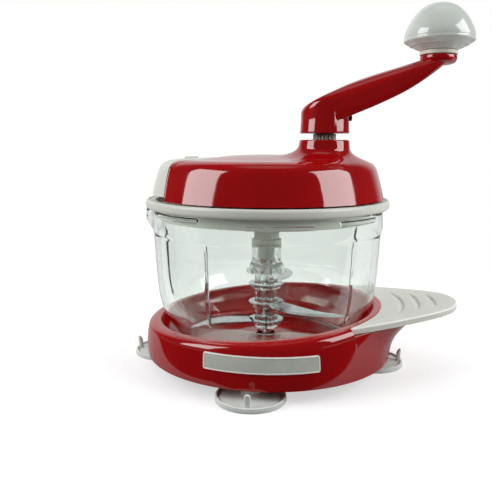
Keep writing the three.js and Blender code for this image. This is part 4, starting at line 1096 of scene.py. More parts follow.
@dataclass
class BladeSet:
    """Clear fluted stem with three curved knives.

    Attributes:
        heights: Lower faces of the knives.
        reaches: How far each knife reaches.
        knife_turns: Their angles in degrees.
        thick: Thickness of a knife's back.
        width: Unit of a knife's width.
        root: Distance from the axis at which a knife's sides start.
        tube: Radius of the stem between the knives.
        collar: Radius of the stem's collars under the knives.
        flute: Half depth of the stem's flutes.
    """

    heights: tuple[float, ...] = (30.0, 44.4, 58.8)
    reaches: tuple[float, ...] = (61.0, 70.0, 73.0)
    knife_turns: tuple[float, ...] = (200.0, 320.0, 440.0)
    thick: float = 1.2
    width: float = 15.0
    root: float = 12.8
    tube: float = 8.8
    collar: float = 11.4
    flute: float = 0.4

    def stem(self) -> None:
        """Stem: r = profile - 0.4 (1 - cos 6a) below the skirt, where a is the turn."""
        tube, collar = self.tube, self.collar
        corners = [(3.2, 24.6, 0), (tube, 24.6, 0.5)]
        for height in self.heights:
            corners += [(tube, height - 2.3, 0.3), (collar, height - 2.3, 0.4), (collar, height - 0.3, 0.4),
                        (tube, height - 0.3, 0.3)]
        corners += [(tube, 67.2, 0.6), (14.8, 68.0, 0.8), (15.6, 69.0, 0.8), (12.4, 75.4, 2.5),
                    (11.0, 77.6, 1.2), (11.0, 87.7, 0.6), (6.6, 87.7, 0.4), (6.4, 78.6, 0), (3.2, 78.4, 0)]
        line = rounded_profile(corners, 4)
        line = np.concatenate([line, line[:1]])
        step = np.linalg.norm(np.diff(line, axis=0), axis=1)
        line = resample(line, 230, np.maximum(1.0, 3.0 / np.maximum(step, 0.4)))[None]
        turn = turns(192)[:, None]
        fluted = (line[..., 1] < 67.0) & (line[..., 0] > 8.0) & (line[..., 0] < 8.95)
        radius = line[..., 0] - self.flute * (1 - np.cos(6 * turn)) * fluted
        grid = around(radius, line[..., 1], turn)
        piece = make_piece("stem_tube", [Patch(grid, rows_close=True, columns_close=True)], Slot.STEM)
        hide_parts("blade_stem")
        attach(piece, "blades")

    def knife(self, name: str, low: float, reach: float, turn: float) -> None:
        """One knife: between its edge and its back the thickness is 1.2 min(1, d / 5).

        d is the distance from the cutting edge; the ring round the stem is turned.

        Args:
            name: CAD node that it stands for.
            low: Height of its lower face.
            reach: Distance of its tip from the axis.
            turn: Its angle in radians.
        """
        t = np.linspace(0.0, 1.0, 31)[:, None]

        def spot(along: float, side: float) -> Points:
            """Place from shares of the reach and of the width."""
            return np.array([along * reach, side * self.width])

        def side_line(start: float, first: Place, middle: Place, second: Place) -> Points:
            """Line from the ring, at a turn in degrees, over the middle to the tip, as two curves."""
            inner = bend(polar(self.root, math.radians(start)), spot(*first), spot(*middle), t)
            return np.concatenate([inner, bend(spot(*middle), spot(*second), spot(1.0, 0.9), t)[1:]])

        edge = side_line(-40.0, (0.45, -1.25), (0.72, -0.54), (0.93, 0.08))
        back = side_line(30.0, (0.3, 0.42), (0.55, 0.33), (0.78, 0.24))
        v = np.linspace(0.0, 1.0, 25)[None, :, None]
        flat = edge[:, None] + v * (back - edge)[:, None]
        deep = np.linalg.norm(flat - edge[:, None], axis=2)
        half = self.thick / 2 * np.clip(deep / 5.0, 0.03, 1.0) - 0.25 * smoothstep(0.97, 1.0, v[..., 0])
        middle, high = low + self.thick / 2, low + self.thick
        patches = pillow(raised(flat, middle + half), raised(flat, middle - half))
        for patch in patches:
            patch.points = turn_about(patch.points, turn)
        ring = rounded_profile([(9.1, low, 0.2), (13.4, low, 0.3), (13.4, high, 0.3), (9.1, high, 0.2)],
                               3, True)
        patches.append(lathe(ring, MIDDLE, 96, True))
        piece = make_piece(name.replace("blade", "knife"), patches, Slot.STEEL, sharp=25)
        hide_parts(name)
        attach(piece, "blades")

    def build(self) -> None:
        """Builds and dresses the blade set."""
        self.stem()
        names = ("blade_lower", "blade_middle", "blade_upper")
        for name, low, reach, turn in zip(names, self.heights, self.reaches, self.knife_turns):
            self.knife(name, low, reach, math.radians(turn))


@dataclass
class Dome:
    """Outer shape shared by the lid's cover and its feed flap.

    Its wall is the smooth curve through (radius, height) points from the flat top's edge to its foot.

    Attributes:
        top: Height of the flat top.
        flat: Radius at which the wall starts.
        crown: Rise of the top's middle over the flat.
        hinge: Distance from the axis of the line along which the crown is drawn in.
        drawn: Distances from that line at which the crown starts and is full.
        foot: Radius and height that the wall's shares are taken of.
        shares: Points of the wall, in shares of the foot's radius and of the rise to the top.
        radius: Radius of each sample of the wall.
        height: Height of each sample.
        along: Length along the wall up to each sample.
    """

    top: float = 153.6
    flat: float = 66.0
    crown: float = 3.6
    hinge: float = 37.0
    drawn: Place = (0.5, 16.0)
    foot: Place = (85.7, 125.4)
    shares: tuple[Place, ...] = ((0.77, 1.0), (0.83, 0.985), (0.88, 0.94), (0.912, 0.87), (0.935, 0.76),
                                 (0.97, 0.4), (1.0, 0.018))
    radius: Points = field(init=False)
    height: Points = field(init=False)
    along: Points = field(init=False)

    def __post_init__(self) -> None:
        """Samples the wall's curve with the length along it."""
        foot, low = self.foot
        corners = [(58.0, self.top)] + [(foot * out, low + (self.top - low) * up) for out, up in self.shares]
        curve = smooth_through(corners, 900)
        curve = curve[curve[:, 0] >= self.flat]
        self.radius, self.height = curve[:, 0], curve[:, 1]
        self.along = lengths(np.linalg.norm(np.diff(curve, axis=0), axis=1))

    def at_radius(self, radius: Points) -> Points:
        """Height of the outer face at a radius."""
        return np.interp(radius, self.radius, self.height, left=self.top)

    def swell(self, flat: Points) -> Points:
        """Rise of the top: crown (1 - (R / flat)^2)^1.5, drawn in to nothing along the hinge.

        Args:
            flat: Plan points.

        Returns:
            The rise at each.
        """
        inside = np.clip(1 - (flat[..., 0] ** 2 + flat[..., 1] ** 2) / self.flat**2, 0.0, 1.0)
        chord = flat @ polar(1.0, FLAP_TURN)
        return self.crown * inside**1.5 * smoothstep(*self.drawn, np.abs(chord - self.hinge))

    def radius_after(self, length: Points) -> Points:
        """Radius at a length along the wall past the flat top's edge."""
        return np.interp(length, self.along, self.radius)

    def length_at(self, radius: Points) -> Points:
        """Length along the wall at a radius."""
        return np.interp(radius, self.radius, self.along, left=0.0)


@dataclass
class Lid:
    """Grey ring and deck, red domed cover with its crank hub, and the parts fixed to them.

    Attributes:
        dome: Shape of the cover.
        hub: Radius of the hub.
        hub_top: Its height.
        fillet: Width and height of the curve from the hub down to the dome.
        chord: Distance from the axis at which the cover ends and the flap starts.
        cover_wall: Thickness of the cover.
        deck: Radius of the deck's hole and of the deck, inside the ring.
        deck_chord: Distance from the axis at which the deck ends.
        hinge: Distance of the ears' round end from the axis, its height and its radius.
        ear_half: Half thickness of an ear.
        edge_wall: Distances from the axis of the straight wall's front and back.
        edge_low: Height of its foot.
        edge_half: Its half length.
    """

    dome: Dome = field(default_factory=Dome)
    hub: float = 17.85
    hub_top: float = 167.8
    fillet: Place = (18.5, 8.8)
    chord: float = 36.0
    cover_wall: float = 2.3
    deck: Place = (11.5, 75.05)
    deck_chord: float = 44.5
    hinge: tuple[float, float, float] = (39.2, 151.0, 2.3)
    ear_half: float = 2.0
    edge_wall: Place = (35.95, 33.8)
    edge_low: float = 125.9
    edge_half: float = 77.6

    def ring(self) -> None:
        """Grey ring with its skirt and the deck, which leaves the feed opening free."""
        rim = rounded_profile([
            (75.0, 119.0, 0), (78.4, 119.0, 0.8), (78.4, 110.6, 0.6), (80.4, 110.6, 0.6), (80.4, 118.5, 0.6),
            (88.7, 118.5, 1.2), (90.0, 119.9, 1.2), (90.0, 123.6, 1.0), (89.0, 125.1, 0.9),
            (87.6, 125.1, 0.4), (87.2, 124.6, 0.3), (86.4, 124.6, 0.3), (82.6, 124.7, 0.4),
            (82.3, 121.3, 0.8), (75.0, 121.3, 0)], 5, True)
        turn = turns(240)[:, None]
        off = np.abs(wrap(turn - FLAP_TURN))
        cut = np.where(off < 1.2, self.deck_chord / np.maximum(np.cos(off), 0.3), 1e3)
        hole, out = self.deck
        share = np.array([[0.0, 0.5, 1.0, 1.0, 1.0, 1.0, 0.5, 0.0]])
        back = np.array([[0.0, 0.0, 0.5, 0.0, 0.0, 0.5, 0.0, 0.0]])
        height = np.array([[121.3, 121.3, 121.3, 120.8, 119.5, 119.0, 119.0, 119.0]])
        deck = around(hole + share * (np.minimum(out, cut) - hole) - back, height, turn)
        hub = rounded_profile([(9.2, 114.4, 0.3), (11.8, 114.4, 0.5), (11.8, 124.0, 0.5), (9.2, 124.0, 0.3)],
                              4, True)
        boss = rounded_profile([(0, 119.2, 0), (8.6, 119.2, 0), (8.6, 126.5, 0.5), (5.3, 126.5, 0.3),
                                (5.3, 121.0, 0), (0, 121.0, 0)], 4)
        patches = [lathe(rim, MIDDLE, 320, True), Patch(deck, rows_close=True, columns_close=True),
                   lathe(hub, MIDDLE, 96, True), lathe(boss, CRANK_AXIS, 72)]
        piece = make_piece("lid_ring", patches, Slot.GREY)
        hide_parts("lid_body")
        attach(piece, "lid")

    def shell(self) -> None:
        """Cover surface on rays from the crank's axis.

        Along a ray at a length q from the axis, measured along the surface past the flat top's edge,
        the height is dome(R) + swell + 8.8 (1 - sin b) with q = 17.85 + 18.5 (1 - cos b) inside the fillet.
        """
        degrees = np.unique(np.concatenate([np.arange(-180.0, 180.0, 1.5), np.arange(-48.0, 48.1, 0.5),
                                            np.arange(-180.0, -120.0, 0.75), (-43.5, -34.0, 34.0, 43.5)]))
        off = np.radians(degrees)[:, None]
        turn = off + FLAP_TURN
        toward = polar(1.0, turn) @ np.array(CRANK_AXIS)

        def ray_length(radius: Points) -> Points:
            """Distance along a ray at which it reaches a radius from the bowl's axis."""
            return -toward + np.sqrt(np.maximum(toward**2 - AXIS_GAP**2 + radius**2, 0.0))

        def from_middle(length: Points) -> Points:
            """Radius from the bowl's axis at a length along a ray."""
            return np.hypot(*np.moveaxis(polar(length, turn, CRANK_AXIS), -1, 0))

        flat_end = ray_length(np.array(self.dome.flat))
        rim_end = flat_end + self.dome.along[-1]
        chord_ray = np.where(np.abs(off) < 1.4, (AXIS_GAP + self.chord) / np.maximum(np.cos(off), 0.1), 1e4)
        chord_radius = from_middle(chord_ray)
        chord_end = np.where(chord_ray < flat_end, chord_ray, flat_end + self.dome.length_at(chord_radius))
        end = np.where(chord_radius > self.dome.radius[-1], rim_end, np.minimum(rim_end, chord_end))
        quarter = np.linspace(0.0, math.pi / 2, 26)[None]
        width, rise = self.fillet
        near = self.hub + width * (1 - np.cos(quarter)) + 0 * off
        far = self.hub + width + np.linspace(0.0, 1.0, 74)[None, 1:] * (end - self.hub - width)
        length = np.concatenate([near, far], axis=1)
        lift = np.concatenate([rise * (1 - np.sin(quarter)) + 0 * off, 0 * far], axis=1)
        past = length > flat_end
        wall_radius = self.dome.radius_after(length - flat_end)
        flat = polar(np.where(past, ray_length(wall_radius), length), turn, CRANK_AXIS)
        radius = np.where(past, wall_radius, from_middle(length))
        skin = raised(flat, self.dome.at_radius(radius) + self.dome.swell(flat) + lift)
        collar = rounded_profile([
            (10.3, 142.0, 0), (10.3, self.hub_top, 0.6), (self.hub - 0.5, self.hub_top, 1.0),
            (self.hub, self.dome.top + rise, 0)], 6)[None, :-1]
        grid = np.concatenate([around(collar[..., 0], collar[..., 1], turn, CRANK_AXIS), skin], axis=1)
        piece = make_piece("dome_cover", [Patch(grid, rows_close=True)], Slot.RED, sharp=50)
        thicken(piece, self.cover_wall, 50)
        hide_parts("lid_cover")
        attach(piece, "lid")

    def wall_and_ears(self) -> None:
        """Upright wall under the cover's straight edge, with the two ears of the hinge."""
        side = np.linspace(-self.edge_half, self.edge_half, 121)[:, None]
        roof = self.dome.at_radius(np.hypot(35.0, side)) - 0.6
        height = self.edge_low + np.linspace(0.0, 1.0, 12)[None] * (roof - self.edge_low)
        front, back = (from_flap(np.stack(np.broadcast_arrays(chord, side, height), axis=-1))
                       for chord in self.edge_wall)
        place, level, radius = self.hinge
        end = polar(radius, np.radians(np.linspace(-75.0, 90.0, 20)), (place, level))
        ear = np.concatenate([end, [(34.5, level + radius), (34.5, 146.2), (37.0, 146.2)]])

        def ear_world(points: Points) -> Points:
            """Puts an ear's (distance, height, along the hinge) points in place."""
            return from_flap(points[..., [0, 2, 1]])

        ears = [slab(ear, middle - self.ear_half, middle + self.ear_half, 0.35, ear_world)
                for middle in EAR_PLACES]
        piece = make_piece("hinge_wall", [*pillow(front, back), *ears], Slot.RED)
        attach(piece, "lid")

    def build(self) -> None:
        """Builds and dresses the lid's fixed pieces."""
        self.ring()
        self.shell()
        self.wall_and_ears()
        dress_nodes(Slot.WHITE, "crank_bushing", "spindle_bushing")
        dress_nodes(Slot.STEEL, "flap_hinge_pin", *(f"lid_screw_{i}" for i in range(1, 5)))


@dataclass
class Flap:
    """Grey feed flap, hinged on the lid's cover.

    Attributes:
        dome: Shape that it continues.
        near: Distance of its straight edge from the axis.
        low: Height of its lower edge.
        wall: Its thickness.
        ear_room: Half width of the slots for the lid's ears.
        slot: Distances from the axis between which they lie.
        slot_height: Heights between which they are cut.
        knuckle: Distance of the hinge's rod from the axis, its height, its radius and its half length.
        tab: Distance of the finger tab from the axis, its half thickness and its half width.
    """

    dome: Dome = field(default_factory=Dome)
    near: float = 37.35
    low: float = 128.8
    wall: float = 2.0
    ear_room: float = 2.7
    slot: Place = (36.0, 42.4)
    slot_height: Place = (144.0, 158.0)
    knuckle: tuple[float, float, float, float] = (39.2, 151.2, 2.15, 49.6)
    tab: tuple[float, float, float] = (70.3, 1.2, 8.0)

    def skin(self) -> bpy.types.Object:
        """Flap skin on arcs round the bowl's axis: half angle acos(near / R) v, height dome(R) + swell.

        Returns:
            The object, with slots for the lid's ears.
        """
        last = float(np.interp(-self.low, -self.dome.height, self.dome.radius))
        flat = np.concatenate([[self.near], self.near + np.geomspace(0.05, self.dome.flat - self.near, 30)])
        span = float(self.dome.length_at(np.array(last)))
        radius = np.concatenate([flat, self.dome.radius_after(np.linspace(0.0, span, 48)[1:])])[:, None]
        v = np.sin(np.linspace(-math.pi / 2, math.pi / 2, 161))[None]
        half = np.arccos(np.clip(self.near / radius, -1.0, 1.0))
        plan = polar(radius, FLAP_TURN + half * v)
        grid = raised(plan, self.dome.at_radius(radius) + self.dome.swell(plan))
        skin = make_piece("feed_door", [Patch(grid)], Slot.GREY, sharp=50)
        thicken(skin, self.wall, 50)
        near, far = self.slot
        box = np.array([(near, -1), (far, -1), (far, 1), (near, 1)]) * (1.0, self.ear_room)
        cuts = [slab(box + (0.0, middle), *self.slot_height, 0.01, from_flap) for middle in EAR_PLACES]
        carve(skin, make_piece("ear_room", cuts, Slot.GREY))
        return skin

    def grip(self) -> bpy.types.Object:
        """Rod of the hinge and finger tab.

        Returns:
            The object.
        """
        place, level, thick, reach = self.knuckle
        corners = [(0, -reach, 0), (thick, -reach, 0.3), (thick, reach, 0.3), (0, reach, 0)]
        rod = lathe(rounded_profile(corners, 4), MIDDLE, 40).points
        rod = np.stack([place + rod[..., 0], rod[..., 2], level + rod[..., 1]], axis=-1)
        middle, half, wide = self.tab
        corners = [(middle + x * half, y * wide, 1.1) for x, y in ((-1, -1), (1, -1), (1, 1), (-1, 1))]
        pull = slab(rounded_profile(corners, 5, True), 150.6, 155.2, 0.8, from_flap)
        return make_piece("feed_grip", [Patch(from_flap(rod), rows_close=True), pull], Slot.GREY)

    def build(self) -> None:
        """Builds the flap's two pieces."""
        skin = self.skin()
        grip = self.grip()
        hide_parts("feed_flap")
        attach(grip, "flap")
        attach(skin, "flap")


@dataclass
class Crank:
    """Crank arm with its hub and boss, the shaft and the washer under the knob.

    Attributes:
        low: Height of the hub's foot.
        hub: Radius of the hub at its foot.
        taper: How much narrower the hub is where the arm starts.
        crest: The arm's upper line, as (distance from the crank's axis, height over the hub's foot).
        keel: The same for its lower line.
        outline: Half of its plan outline past the hub, as (distance, half width).
        power: Power of the shoulder's curve.
        rib: Half depth of the shaft's ribs.
    """

    low: float = 172.2
    hub: float = 17.2
    taper: float = 0.5
    crest: tuple[Place, ...] = (
        (-17.2, 16.6), (-12.6, 19.8), (-7.7, 22.6), (-0.7, 26.1), (6.3, 29.4), (14.0, 33.0), (22.3, 36.3),
        (33.7, 40.2), (52.0, 45.8), (64.0, 49.6), (72.8, 51.4), (80.4, 51.6), (86.5, 51.0))
    keel: tuple[Place, ...] = (
        (-17.2, 5.0), (10.0, 9.3), (18.4, 12.6), (33.7, 18.9), (52.0, 27.6), (64.0, 34.9), (72.8, 41.0),
        (80.4, 46.4), (86.5, 48.2))
    outline: tuple[Place, ...] = (
        (10.5, 15.5), (18.4, 14.1), (33.7, 12.9), (52.0, 12.2), (64.0, 11.8), (73.0, 11.2), (80.4, 8.7),
        (84.8, 4.7), (86.2, 0.0))
    power: float = 2.1
    rib: float = 0.25

    @property
    def knob_place(self) -> Points:
        """Place of the knob's axis."""
        return polar(ARM_REACH, ARM_TURN, CRANK_AXIS)

    def over(self, x: Points) -> Points:
        """Height of the arm's crest at a distance from the crank's axis."""
        return self.low + read_curve(self.crest, x)

    def under(self, x: Points) -> Points:
        """Height of the arm's keel."""
        return self.low + read_curve(self.keel, x)

    def plan(self) -> tuple[Points, Points]:
        """Plan outline of the arm and the turn on the hub's circle that each of its points goes down to.

        Returns:
            The outline, n by 2, and the turns.
        """
        start = math.radians(72.0)
        back = np.linspace(math.pi, start, 60)
        circle = polar(self.hub - self.taper, back)
        side = smooth_through([*circle[-2:], *self.outline], 130)[2:]
        upper = np.concatenate([circle, side])
        share = np.linspace(start, 0.0, len(side) + 1)[1:]
        angle = np.concatenate([back, share, -share[-2::-1], -back[:0:-1]])
        return np.concatenate([upper, upper[-2:0:-1] * (1, -1)]), angle

    def shoulder(self, distance: Points, depth: Points, width: Points) -> Points:
        """Drop h (1 - (1 - (1 - d / w)^n)^(1 / n)) at a distance d from the outline."""
        inside = np.clip(1 - distance / width, 0.0, 1.0)
        return depth * (1 - (1 - inside**self.power) ** (1 / self.power))

    def arm(self) -> None:
        """Arm and hub as one surface.

        Columns follow the plan outline, rows run from the spine over a shoulder to the side, under the
        keel to the hub's circle and down it.
        """
        outline, angle = self.plan()
        narrow = self.hub - self.taper
        ring = polar(narrow, angle)
        spine = np.stack([np.clip(outline[:, 0], -9.0, 80.0), np.zeros(len(outline))], axis=1)
        full = 3.4 + 9.2 * smoothstep(-14.0, 26.0, outline[:, :1])
        depth = np.minimum(full, 0.49 * (self.over(outline[:, :1]) - self.under(outline[:, :1])))
        q = np.sin(np.linspace(0.0, math.pi / 2, 40))[None, :, None]
        flat = spine[:, None] + q * (outline - spine)[:, None]
        from_edge = np.linalg.norm(outline - spine, axis=1)[:, None] * (1 - q[..., 0])
        top = raised(flat, self.over(flat[..., 0]) - self.shoulder(from_edge, depth, full))
        q = (1 - np.cos(np.linspace(0.0, math.pi / 2, 34)))[None, :, None]
        flat = outline[:, None] + q * (ring - outline)[:, None]
        from_edge = np.linalg.norm(outline - ring, axis=1)[:, None] * q[..., 0]
        keel = self.under(flat[..., 0]) + self.shoulder(from_edge, depth * 0.9, full)
        bottom = raised(flat, keel)
        t = np.linspace(0.0, 1.0, 10)[None, 1:]
        side_top = top[:, -1:, 2]
        side = raised(outline[:, None], side_top + t[:, :-1] * (keel[:, :1] - side_top))
        hub_wall = raised(ring[:, None] * (1 + t[..., None] * (self.hub / narrow - 1)),
                          keel[:, -1:] + t * (self.low + 0.7 - keel[:, -1:]))
        hub, low, socket = self.hub, self.low, self.low + 15.4
        foot = rounded_profile([(hub, low + 0.8, 0), (hub, low, 0.7), (8.2, low, 0.4), (8.2, socket, 0),
                                (0.0, socket, 0)], 5)[None, 1:]
        base = around(foot[..., 0], foot[..., 1], angle[:, None])
        grid = np.concatenate([top, side, bottom, hub_wall, base], axis=1)
        boss = lathe(rounded_profile([
            (0, 219.0, 0), (8.0, 219.0, 2.0), (11.2, 219.9, 2.0), (12.35, 222.2, 2.0), (12.15, 225.1, 1.2),
            (0, 225.1, 0)], 7), (ARM_REACH, 0.0), 128)
        patches = [Patch(turn_about(points, ARM_TURN, CRANK_AXIS), rows_close=True)
                   for points in (grid, boss.points)]
        piece = make_piece("crank_lever", patches, Slot.RED, sharp=42)
        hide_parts("crank_arm")
        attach(piece, "crank")

    def shaft(self) -> None:
        """Ribbed shaft: r = profile - 0.25 (1 - cos 22a) where it shows."""
        line = rounded_profile([
            (0, 121.3, 0), (5, 121.3, 0.3), (5, 126.9, 0), (7, 126.9, 0), (7, 134.1, 0), (8.4, 134.1, 0.3),
            (8.4, 136.7, 0.3), (8.0, 137.2, 0.2), (8.0, 152.0, 0), (8.0, 171.8, 0.2), (6.7, 171.8, 0),
            (6.7, 187.2, 0.4), (0, 187.2, 0)], 3)[None]
        turn = turns(264)[:, None]
        ribbed = (line[..., 1] > 150) & (line[..., 0] > 7.7)
        radius = line[..., 0] - self.rib * (1 - np.cos(22 * turn)) * ribbed
        grid = around(radius, line[..., 1], turn, CRANK_AXIS)
        piece = make_piece("drive_shaft", [Patch(grid, rows_close=True)], Slot.SHAFT)
        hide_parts("crank_shaft")
        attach(piece, "crank")

    def washer(self) -> None:
        """Pale washer between the boss and the knob."""
        profile = rounded_profile([
            (3.8, 225.3, 0.3), (12.7, 225.3, 0.5), (12.7, 227.9, 0.5), (3.8, 227.9, 0.3)], 5, True)
        piece = make_piece("pale_washer", [lathe(profile, self.knob_place, 128, True)], Slot.WHITE)
        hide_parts("knob_washer")
        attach(piece, "crank")

    def pin(self) -> None:
        """Steel pin that carries the knob, its head sunk in the boss."""
        low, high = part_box("knob_pin")
        head, top = (high.x - low.x) * MM / 2, high.z * MM
        profile = rounded_profile([
            (0, 219.6, 0), (head - 0.6, 219.6, 0.4), (head, 220.1, 0.3), (head, 221.6, 0.3), (3.6, 221.8, 0),
            (3.6, top - 0.4, 0.4), (0, top, 0)], 4)
        piece = make_piece("steel_pin", [lathe(profile, self.knob_place, 64)], Slot.STEEL)
        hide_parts("knob_pin")
        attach(piece, "crank")

    def build(self) -> None:
        """Builds and dresses the crank."""
        self.arm()
        self.shaft()
        self.washer()
        self.pin()
        dress_nodes(Slot.WHITE, "crank_gear")
        dress_nodes(Slot.DARK, "crank_set_screw")


@dataclass
class Knob:
    """Grey mushroom knob.

    Attributes:
        place: Its axis.
        low: Height of its neck.
        size: Radius and height that its shares are taken of.
        band: Points of the band round its foot, in shares.
        crown: Points from the band to its top, in shares.
    """

    place: Points
    low: float = 228.2
    size: Place = (23.6, 31.5)
    band: tuple[Place, ...] = ((0.95, 0.165), (0.985, 0.183), (0.998, 0.208), (0.996, 0.23))
    crown: tuple[Place, ...] = (
        (0.984, 0.24), (0.99, 0.285), (0.98, 0.345), (0.945, 0.43), (0.885, 0.53), (0.812, 0.63),
        (0.73, 0.72), (0.635, 0.805), (0.515, 0.885), (0.375, 0.945), (0.19, 0.985), (0.0, 1.0))

    def build(self) -> None:
        """Knob turned from the smooth curves through its shares, with two faint steps beneath."""
        skirt = rounded_profile([
            (3.8, 15.6, 0), (3.8, 0.0, 0.4), (12.6, 0.0, 0.5), (13.4, 0.6, 0.3), (16.6, 1.9, 0.3),
            (17.0, 2.4, 0.2), (19.6, 3.2, 0.3), (19.9, 3.6, 0.2), (22.42, 5.355, 0)], 4)
        outside = np.concatenate([smooth_through(self.band, 20), smooth_through(self.crown, 90)]) * self.size
        profile = np.concatenate([[(0.0, 15.6)], skirt, outside[1:]]) + (0.0, self.low)
        piece = make_piece("turn_knob", [lathe(profile, self.place, 160)], Slot.KNOB, sharp=50)
        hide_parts("knob")
        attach(piece, "knob")


@dataclass
class Spindle:
    """Grey drive spindle under the lid, with its pinion.

    Attributes:
        flange_low: Height of the flange's lower face.
        key_low: Height of the hexagonal key's lower face.
        key_half: Distance of the key's flats from the axis.
    """

    flange_low: float = 88.0
    key_low: float = 79.0
    key_half: float = 5.5

    def build(self) -> None:
        """Spindle turned with a grooved collar; its hexagon is r = 5.5 / cos of the turn from a flat."""
        low = self.flange_low
        line = rounded_profile([
            (11.4, low, 0.5), (11.4, low + 5.3, 0.6), (9.7, low + 5.4, 0.4), (9.7, low + 11.0, 0.2),
            (9.3, low + 11.3, 0.2), (9.3, low + 12.6, 0.2), (9.7, low + 12.9, 0.2), (9.7, 114.1, 0.5),
            (7.0, 114.1, 0.2), (7.0, 125.4, 0.2), (6.0, 125.5, 0), (6.0, 135.5, 0.3),
            (0.0, 135.5, 0)], 4)[None]
        turn = turns(144)[:, None]
        hexagon = self.key_half / np.cos((turn + math.pi / 6) % (math.pi / 3) - math.pi / 6)
        key = np.concatenate([0 * hexagon, hexagon - 0.4, hexagon, hexagon], axis=1)
        key_height = np.array([[self.key_low, self.key_low, self.key_low + 0.4, low]])
        body = around(line[..., 0], line[..., 1], turn)
        grid = np.concatenate([around(key, key_height, turn), body], axis=1)
        piece = make_piece("spindle_body", [Patch(grid, rows_close=True)], Slot.GREY)
        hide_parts("drive_spindle")
        dress_nodes(Slot.WHITE, "spindle_pinion")
        dress_nodes(Slot.STEEL, "pinion_screw")
        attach(piece, "spindle")


@dataclass(frozen=True)
class Lamp:
    """A rectangular lamp that faces the object.

    Attributes:
        name: Name of the lamp.
        azimuth: Direction in degrees.
        size: Width and height in metres.
        height: Height of its middle in metres.
        distance: From the axis in metres.
        radiance: Brightness, 1 is white.
    """

    name: str
    azimuth: float
    size: Place
    height: float = 0.68
    distance: float = 1.1
    radiance: float = 4.8


